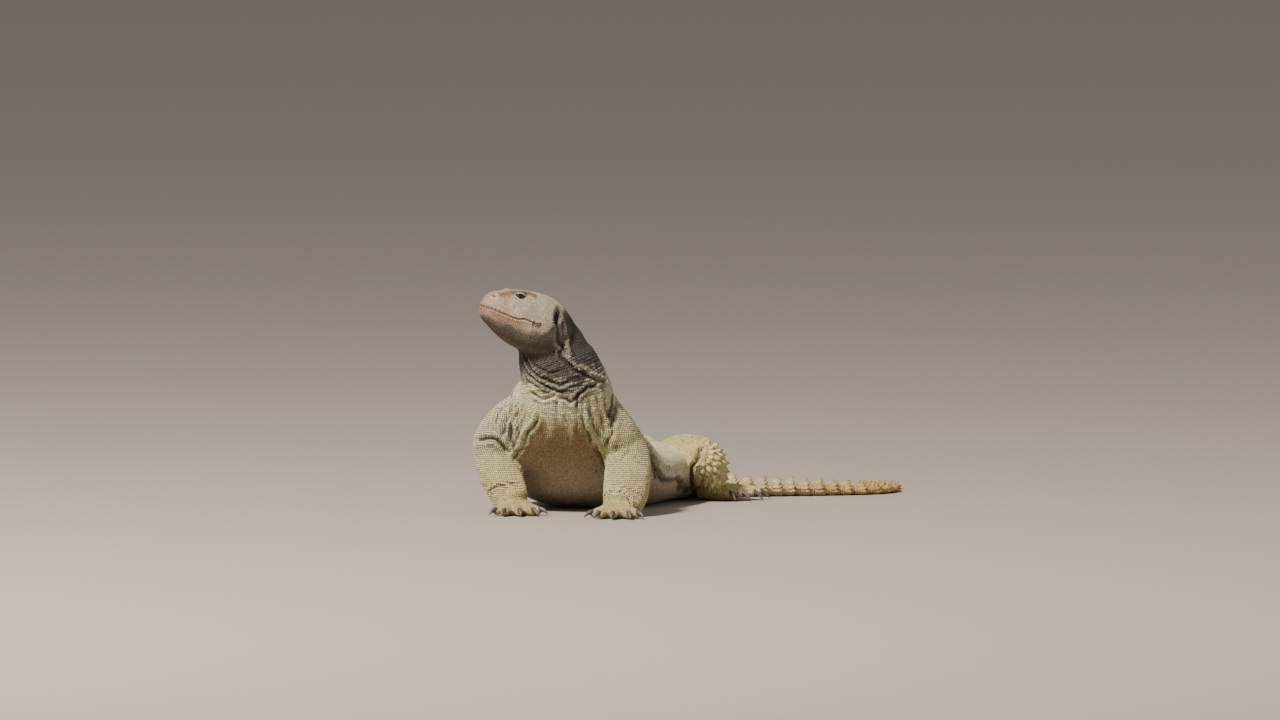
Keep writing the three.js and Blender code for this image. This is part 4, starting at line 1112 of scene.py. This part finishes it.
def coat(name, batch, high, material, kind=PEBBLE, bare=(), edge=1.0, rowed=0.0):
    """Joined scales of one kind over the skin, split into pieces of no more than about MOST_TRIANGLES
    triangles.
    """
    template = kind["points"]
    faces = np.array(kind["top"] + kind["under"])
    is_top = np.array([True] * len(kind["top"]) + [False] * len(kind["under"]))
    count = len(batch["roots"])
    lowered = 1 - LOWERED_ON_BELLY * skin_marks["belly"][batch["numbers"]]
    high = np.broadcast_to(high, count) * random.uniform(*HEIGHT_RANGE, count) * lowered
    tint = random.uniform(0, 1, count)
    # How far each point of a scale lies towards its rim and rear edge, for the painted shade there.
    rim = np.maximum(np.hypot(template[:, 0], template[:, 1]) * 1.6 * (1 - rowed), template[:, 0] * 2)
    rim = np.clip(rim, 0, 1) * edge
    tip = np.clip(template[:, 2] * 1.6 - 0.7, 0, 1) * kind["pointed"]
    pieces = max(math.ceil(count * len(faces) / MOST_TRIANGLES), 1)
    for piece, some in enumerate(np.array_split(np.arange(count), pieces), 1):
        back, ups = batch["back"][some], batch["ups"][some]
        aside = np.cross(ups, back)
        shape = template[None] * np.stack([batch["long"][some], batch["wide"][some], high[some]], 1)[:, None]
        points = batch["roots"][some][:, None] + shape[..., :1] * back[:, None]
        points = points + shape[..., 1:2] * aside[:, None] + shape[..., 2:] * ups[:, None]
        triangles = faces[None] + len(template) * np.arange(len(some))[:, None, None]
        points[..., 2] = np.maximum(points[..., 2], LOWEST_SCALE)
        triangles = triangles.reshape(-1, 3)
        mesh = mesh_of(f"{name}_{piece}", points.reshape(-1, 3), triangles, np.tile(is_top, len(some)))
        for key, values in skin_marks.items():
            values = values[batch["numbers"][some]] * (key not in bare)
            add_mark(mesh, key, np.repeat(values, len(template)))
        add_mark(mesh, "tint", np.repeat(tint[some], len(template)))
        add_mark(mesh, "rim", np.tile(rim, len(some)))
        add_mark(mesh, "tip", np.tile(tip, len(some)))
        spots = batch["uv"][some][:, None] + template[None][..., 1::-1] * PATCH
        corners = spots.reshape(-1, 2)[triangles.reshape(-1)]
        mesh.uv_layers.new(name="OFBake").data.foreach_set("uv", corners.astype(np.float32).ravel())
        mesh.materials.append(material)
        item = linked(mesh.name, mesh)
        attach(item, "root")


scales = scaly_hide("hide_scales", False)
coat("trunk_scales", ring_scales("trunk", 1.55, 1.6, 3.8, jitter=0.2), 0.28, scales, edge=0.75)
coat("neck_scales", ring_scales("trunk", 1.45, 1.5, 0.2, 3.8, jitter=0.2), 0.36, scales)
coat("head_scales", ring_scales("skull", 1.3, 1.35, jitter=0.18), 0.2, scales, edge=0.8)
legs = [ring_scales(f"foreleg_{side}", 1.75, 1.6, jitter=0.03, level=True) for side in ("left", "right")]
coat("foreleg_scales", together(legs), 0.8, scales, edge=2.1, rowed=0.65)
legs = [ring_scales(f"{part}_{side}", 1.75, 1.75) for side in ("left", "right") for part in ("thigh", "shin")]
coat("hind_leg_scales", together(legs), 0.38, scales)
feet = [ring_scales(name, 1.5, 1.6) for name in part_names if "palm" in name or "toe" in name]
coat("foot_scales", together(feet), 0.36, scales)
coat("tail_scales", ring_scales("tail", 1.9, 2.0, 0.1), 0.36, scales)

# Tail spines
# Each ring of the tail ends in a row of large keeled spiny scales, highest on the back and the sides, whose
# points stand up and back over the next ring; they are horn, paler at the point.
SPINE_POINTS = np.array([
    (-0.55, 0, -0.08), (-0.3, 0.38, -0.08), (0, 0.5, -0.08), (0.28, 0.42, -0.08), (0.34, 0, -0.08),
    (0.28, -0.42, -0.08), (0, -0.5, -0.08), (-0.3, -0.38, -0.08), (-0.32, 0, 0.2), (0, 0, 0.52),
    (0.05, 0.3, 0.24), (0.05, -0.3, 0.24), (0.3, 0.2, 0.42), (0.3, -0.2, 0.42), (0.62, 0, 1.0),
])
SPINE_TOP = [
    (3, 2, 10), (2, 1, 10), (1, 0, 8), (1, 8, 10), (8, 9, 10), (9, 14, 12), (9, 12, 10), (3, 10, 12),
    (4, 3, 12), (4, 12, 14), (6, 5, 11), (7, 6, 11), (0, 7, 8), (8, 7, 11), (9, 8, 11), (14, 9, 13),
    (13, 9, 11), (11, 5, 13), (5, 4, 13), (13, 4, 14),
]
SPINE_UNDER = [(0, side, side + 1) for side in range(1, 7)]
SPINE = dict(points=SPINE_POINTS, top=SPINE_TOP, under=SPINE_UNDER, pointed=1)


def single_scales(name, places, degrees, long, wide):
    """As ring_scales, for scales at given places of one mass; places past its ends are on its domes."""
    part, last = parts[name], len(parts[name]["rows"]) - 1
    value, angles = np.clip(places, 0, last), np.radians(degrees)
    ahead, _ = surface(part, np.minimum(value + SHORT_WAY, last), angles)
    behind, _ = surface(part, np.minimum(value + SHORT_WAY, last) - 2 * SHORT_WAY, angles)
    found = rooted(on_part(name, places, degrees), unit(ahead - behind))
    return batch_of(found, map_spots(name, angles, value / last), long, wide)


SPINES_SHRINK, SPINES_BACK = 0.38, 0.78
SPINE_LENGTH, LEAST_SPINE_WIDTH, RING_WIDTH = 8.6, 2.4, 43
places, degrees, spine_long, spine_wide = [], [], [], []
for whorl in range(TAIL_WHORLS):
    front, rear = whorl_place(whorl / TAIL_WHORLS), whorl_place((whorl + 1) / TAIL_WHORLS)
    size = 1 - SPINES_SHRINK * whorl / TAIL_WHORLS
    count = 10 - whorl // 5
    places += [front + SPINES_BACK * (rear - front)] * count
    degrees += (np.linspace(-8, 188, count) + random.uniform(-2, 2, count)).tolist()
    spine_long += (random.uniform(0.9, 1.08, count) * SPINE_LENGTH * size).tolist()
    spine_wide += [max(LEAST_SPINE_WIDTH, RING_WIDTH * size / count)] * count
spine_long = np.array(spine_long)
spines = single_scales("tail", np.array(places), np.array(degrees), spine_long, np.array(spine_wide))
standing = spine_long * (0.32 + 0.24 * np.sin(np.radians(degrees)))
coat("tail_spines", spines, standing, scales, SPINE)

# Lids, lips and the head's large scales
# Rows of small plates round the slit between the lids, a row of oblong plates along each lip, long plates
# that overhang the brow, a ring of pale ones round the nostril and toothed ones over the ear's front edge.


def on_head_side(forwards, ups, side):
    """Points of the skin met from the side, or from the front where the snout turns."""
    met = []
    for ahead, up in zip(forwards, ups):
        turn = math.radians(np.clip((ahead - 44) * 8, 0, 88))
        line = np.array([math.sin(turn), side * math.cos(turn), 0])
        middle = np.array([min(ahead, 44), 0, up])
        start, way = head_turn @ (middle + 60 * line) + head_move, head_turn @ -line
        hit = skin_tree.ray_cast(start.tolist(), way.tolist())[0]
        met.append(hit if hit is not None else start + 40 * way)
    return np.array([tuple(point) for point in met])


def head_scales_at(points, ways, long, wide):
    """The same as ring_scales, for single scales of the head, each pointing along its own way."""
    found = rooted(points, ways)
    ahead, left, up = in_head(found[0]).T
    uv = map_spots("skull", np.arctan2(up, -left), np.clip(ahead / 76 + 0.24, 0, 1))
    return batch_of(found, uv, long, wide)


def spaced(line, gap):
    """Points at equal steps along a line in the side view of the head, and the way along it there."""
    line = np.array(line, float)
    run = run_along(line)
    steps = np.arange(0.5, run[-1] / gap) * gap
    points = np.stack([np.interp(steps, run, line[:, axis]) for axis in (0, 1)], 1)
    after = np.stack([np.interp(steps + 0.3, run, line[:, axis]) for axis in (0, 1)], 1)
    return points, unit(after - points + [-1e-6, 0])


def head_way(ways):
    """Ways in the side view of the head, in the animal's own frame."""
    return np.stack([ways[:, 0], 0 * ways[:, 0], ways[:, 1]], 1) @ head_turn.T


lips, brows, lid_scales, nostrils, ear_teeth = [], [], [], [], []
for side in (1, -1):
    for lift_off in (1.4, -1.35):
        line = [(ahead, up + lift_off) for ahead, up in MOUTH[1:]]
        points, ways = spaced(line, 1.6)
        lips.append(head_scales_at(on_head_side(*points.T, side), head_way(ways), 1.85, 1.9))
    points, ways = spaced(BROW[::-1], 1.9)
    brows.append(head_scales_at(on_head_side(*points.T, side), head_way(ways), 2.5, 1.9))
    for row, (grown, count) in enumerate([(0.75, 26), (1.6, 30), (2.45, 34), (3.3, 38)]):
        turns = (np.arange(count) + 0.5 * (row % 2)) / count * 2 * math.pi
        rise = np.where(np.sin(turns) > 0, UPPER_SLIT, LOWER_SLIT) + grown
        spoke = np.stack([(EYE_SLIT_HALF + 0.75 * grown) * np.cos(turns), rise * np.sin(turns)], 1)
        points = EYE * (1, side, 1) + np.stack([spoke[:, 0], side * 5.2 + 0 * turns, spoke[:, 1]], 1)
        ways = np.stack([-np.sin(turns), np.cos(turns)], 1)
        lid_scales.append(head_scales_at(from_head(points), head_way(ways), 1.05, 0.85))
    turns = np.arange(9) / 9 * 2 * math.pi
    points = np.stack([NOSTRIL[0] + 2.0 * np.cos(turns), NOSTRIL[1] + 2.0 * np.sin(turns)], 1)
    nostrils.append(head_scales_at(on_head_side(*points.T, side), head_way(points - NOSTRIL), 1.2, 1.25))
    ups = EAR[1] + np.linspace(-5.2, 5.2, 6)
    points = on_head_side(EAR[0] + 2.9 - 0.02 * (ups - EAR[1]) ** 2, ups, side)
    sizes = np.array([1.6, 2.2, 1.9, 2.3, 2.0, 1.5])
    ear_teeth.append(head_scales_at(points, -forward + 0.25 * side * leftward + 0 * points, sizes, 1.9))
for name, batches, high, edge in (
        ("lip_plates", lips, 0.1, 0.8), ("brow_plates", brows, 0.3, 1.0),
        ("lid_plates", lid_scales, 0.22, 1.0), ("nostril_plates", nostrils, 0.55, 1.0)):
    coat(name, together(batches), high, scales, bare=("mouth",), edge=edge)
coat("ear_teeth", together(ear_teeth), 0.8, scales, SPINE)

# Eyes
# A wet brown ball behind each slit, with a round black pupil in a brown iris flecked with gold; the lids'
# bare edges stand round it as a thick pale rim.
SIDES = ((1, "left"), (-1, "right"))
wet_eye, eye_body = new_finish("wet_eye", 0.3)
eye_shade = Shade(wet_eye.node_tree)
from_pupil = mark(eye_shade, "from_pupil")
flecks = eye_shade.node("TexNoise", None, {"Vector": eye_shade.node("TexCoord", output=3), "Scale": 900.0})
iris = flecks.kept(0.35, 0.7).between((0.025, 0.012, 0.006), (0.10, 0.05, 0.02))
iris = from_pupil.kept(0.30, 0.36).between((0.003, 0.003, 0.003), iris)
iris = from_pupil.kept(0.80, 0.95).between(iris, (0.02, 0.012, 0.008))
eye_shade.tree.links.new(iris.socket, eye_body.inputs["Base Color"])
eye_body.inputs["Specular IOR Level"].default_value = 0.2
eye_body.inputs["Coat Weight"].default_value = 0.55
eye_body.inputs["Coat Roughness"].default_value = 0.03
lid_edge, _ = new_finish("lid_edge", 0.5, (0.50, 0.41, 0.31))


def smooth_piece(name, points, faces, material):
    """A smooth piece, from points in the animal's millimetres."""
    piece = new_mesh(name, in_frame(points), faces)
    piece.data.polygons.foreach_set("use_smooth", [True] * len(faces))
    piece.data.materials.append(material)
    return piece


for side, side_name in SIDES:
    sides, rings = 40, 28
    ball, from_axis = ball_points(0, 1, rings, sides, (0.12, side * 0.99, 0.06))
    ball = ball * (EYE_RADIUS - 0.15 + 0.3 * bell(from_axis, 0.75))[:, None] + EYE * (1, side, 1)
    eye = smooth_piece(f"eyeball_{side_name}", from_head(ball), ring_quads(rings, sides), wet_eye)
    add_mark(eye.data, "from_pupil", from_axis)
    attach(eye, "root")
    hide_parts(f"eye_{side_name}")

    sides, rings = 10, 64
    turns, around = round_grid(np.arange(rings) / rings * 2 * math.pi, sides)
    ahead = EYE_SLIT_HALF * np.cos(turns)
    rise = np.where(np.sin(turns) > 0, UPPER_SLIT, LOWER_SLIT)
    up = rise * np.sign(np.sin(turns)) * (1 - np.cos(turns) ** 2) ** 0.8
    edge = np.stack([ahead, side * np.sqrt((LID_RADIUS - 0.45) ** 2 - ahead ** 2 - up ** 2), up], 1)
    in_plane = unit(np.stack([np.cos(turns), 0 * turns, np.sin(turns)], 1))
    thick = 0.5 * np.cos(around)[:, None] * unit(edge) + 0.38 * np.sin(around)[:, None] * in_plane
    rim = from_head(edge + thick + EYE * (1, side, 1))
    rim_edge = smooth_piece(f"lid_edge_{side_name}", rim, ring_quads(rings, sides, closed=True), lid_edge)
    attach(rim_edge, "root")

# Ear drums
# A thin dark membrane set back in each ear slit, a little hollow towards its middle, and stretched across
# the slit from edge to edge.
DRUM_HALF, DRUM_DEPTH, DRUM_HOLLOW = (2.8, 6.3), 22.2, 0.9
drum_skin, _ = new_finish("ear_drum", 0.45, (0.035, 0.025, 0.02))
for side, side_name in SIDES:
    sides, rings = 32, 8
    share, around = round_grid(np.linspace(0.05, 1, rings), sides)
    depth = DRUM_DEPTH - DRUM_HOLLOW * (1 - share ** 2)
    drum = np.stack([EAR[0] + DRUM_HALF[0] * share * np.cos(around), side * depth,
                     EAR[1] + DRUM_HALF[1] * share * np.sin(around)], 1)
    membrane = smooth_piece(f"ear_drum_{side_name}", from_head(drum), ring_quads(rings, sides), drum_skin)
    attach(membrane, "root")
    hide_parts(f"ear_{side_name}")

# Knobs and thorns
# Larger horny scales that stand alone: knobs along the ridge of each side of the neck, thorns on the rear of
# the thighs and round the shins, and short ones along the fold of each flank.
NECK_RIDGES = [
    [(1.1, 297), (1.9, 294), (2.45, 294), (2.75, 297), (2.95, 306), (3.2, 318), (3.5, 330), (3.75, 342)],
    [(1.1, 123), (1.9, 126), (2.45, 128), (2.95, 136), (3.4, 150), (3.8, 166)],
]
LEG_THORNS = (("shin", np.arange(-0.5, 2.7, 0.4), np.arange(-95, 80, 29), 1.0),
              ("thigh", np.arange(1.9, 3.6, 0.26), np.arange(62, 175, 24), 0.5))
FLANK_FOLD = ((7.2, 7.8, 8.1, 8.5, 8.8, 9.4, 9.85, 10.15, 10.8, 11.5),
              (14, 9, 4, 0, -5, -8, -8, -6, -11, -19))
knob_places, knob_degrees = [], []
for ridge in NECK_RIDGES:
    spots = row_at(ridge, np.linspace(0, len(ridge) - 1, 22))
    knob_places += spots[:, 0].tolist()
    knob_degrees += (spots[:, 1] + random.uniform(-4, 4, len(spots))).tolist()
knob_size = random.uniform(1.8, 2.9, len(knob_places))
knobs = single_scales("trunk", np.array(knob_places), np.array(knob_degrees), knob_size, knob_size)
coat("neck_knobs", knobs, knob_size * 0.42, scales)
thorns = []
for side in ("left", "right"):
    for part, rows, spread, share in LEG_THORNS:
        for number, row in enumerate(rows):
            degrees = spread + 12 * (number % 2) + random.uniform(-5, 5, len(spread))
            if side == "right":
                degrees = 180 - degrees
            size = random.uniform(4.4, 6.4, len(degrees)) * share
            at = np.full(len(degrees), row)
            thorns.append(single_scales(f"{part}_{side}", at, degrees, size * 1.1, size))
thorns = together(thorns)
coat("leg_thorns", thorns, thorns["wide"] * 0.62, scales, SPINE)
on_one_flank = np.arange(7.4, 11.6, 0.14)
fringe_places = np.tile(on_one_flank, 2)
fringe_degrees = np.interp(on_one_flank, *FLANK_FOLD)
fringe_degrees = np.concatenate([fringe_degrees, 180 - fringe_degrees])
fringe_degrees = fringe_degrees + random.uniform(-1.5, 1.5, len(fringe_places))
fringe_size = random.uniform(1.9, 3.0, len(fringe_places))
fringe = single_scales("trunk", fringe_places, fringe_degrees, fringe_size * 1.3, fringe_size)
coat("flank_thorns", fringe, fringe_size * 0.6, scales, SPINE)

# Claws
# Curved claws of dark horn, thick at the quick, blunt from digging and paler at the tip, one at the end of
# each toe. They are lofts that go on from the toe's own curve.
CLAW = [(1, 4.6, 2.3), (3, 5.0, 2.25), (5, 5.1, 2.1), (8.5, 3.9, 1.4), (11, 1.5, 0.5)]
CLAW_ARCH = (0.55, 0.5, 0.4, 0.15, 0)
SUNK_IN_TOE, NARROWED = 2, 0.86
LOWEST_CLAW = 0.1
horn, horn_body = new_finish("claw_horn", 0.5)
horn_shade = Shade(horn.node_tree)
horn_where = horn_shade.node("TexCoord", output=3)
horn_grain = horn_shade.node("TexNoise", None, {"Vector": horn_where, "Scale": 260.0})
to_tip = (mark(horn_shade, "tip") + (horn_grain - 0.5) * 0.4).kept(0.1, 0.9)
horn_colour = to_tip.between((0.028, 0.022, 0.024), (0.10, 0.08, 0.075))
horn_shade.tree.links.new(horn_colour.socket, horn_body.inputs["Base Color"])
for name, digit, root_x, root_y, angle, length, arch, foot_turn, foot_move in claw_rows:
    rows = []
    for (past, z, radius), arch_share in zip(CLAW, CLAW_ARCH):
        reach = length + past - SUNK_IN_TOE
        x, y = root_x + math.cos(angle) * reach, root_y + math.sin(angle) * reach
        rows.append((x, y, z + arch * arch_share, radius * NARROWED, radius, radius, 0))
    claw = dict(rows=rows, square=2, turn=foot_turn, move=foot_move)
    sides, rings = 16, 14
    places, around = round_grid(np.linspace(0, len(rows) - 1, rings), sides)
    points, _ = surface(claw, places, around)
    points[:, 2] = np.maximum(points[:, 2], LOWEST_CLAW)
    claw_item = smooth_piece(f"{name}_claw_{digit}", points, ring_quads(rings, sides), horn)
    add_mark(claw_item.data, "tip", places / (len(rows) - 1))
    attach(claw_item, "root")
    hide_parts(f"claw_{name}_{digit}")
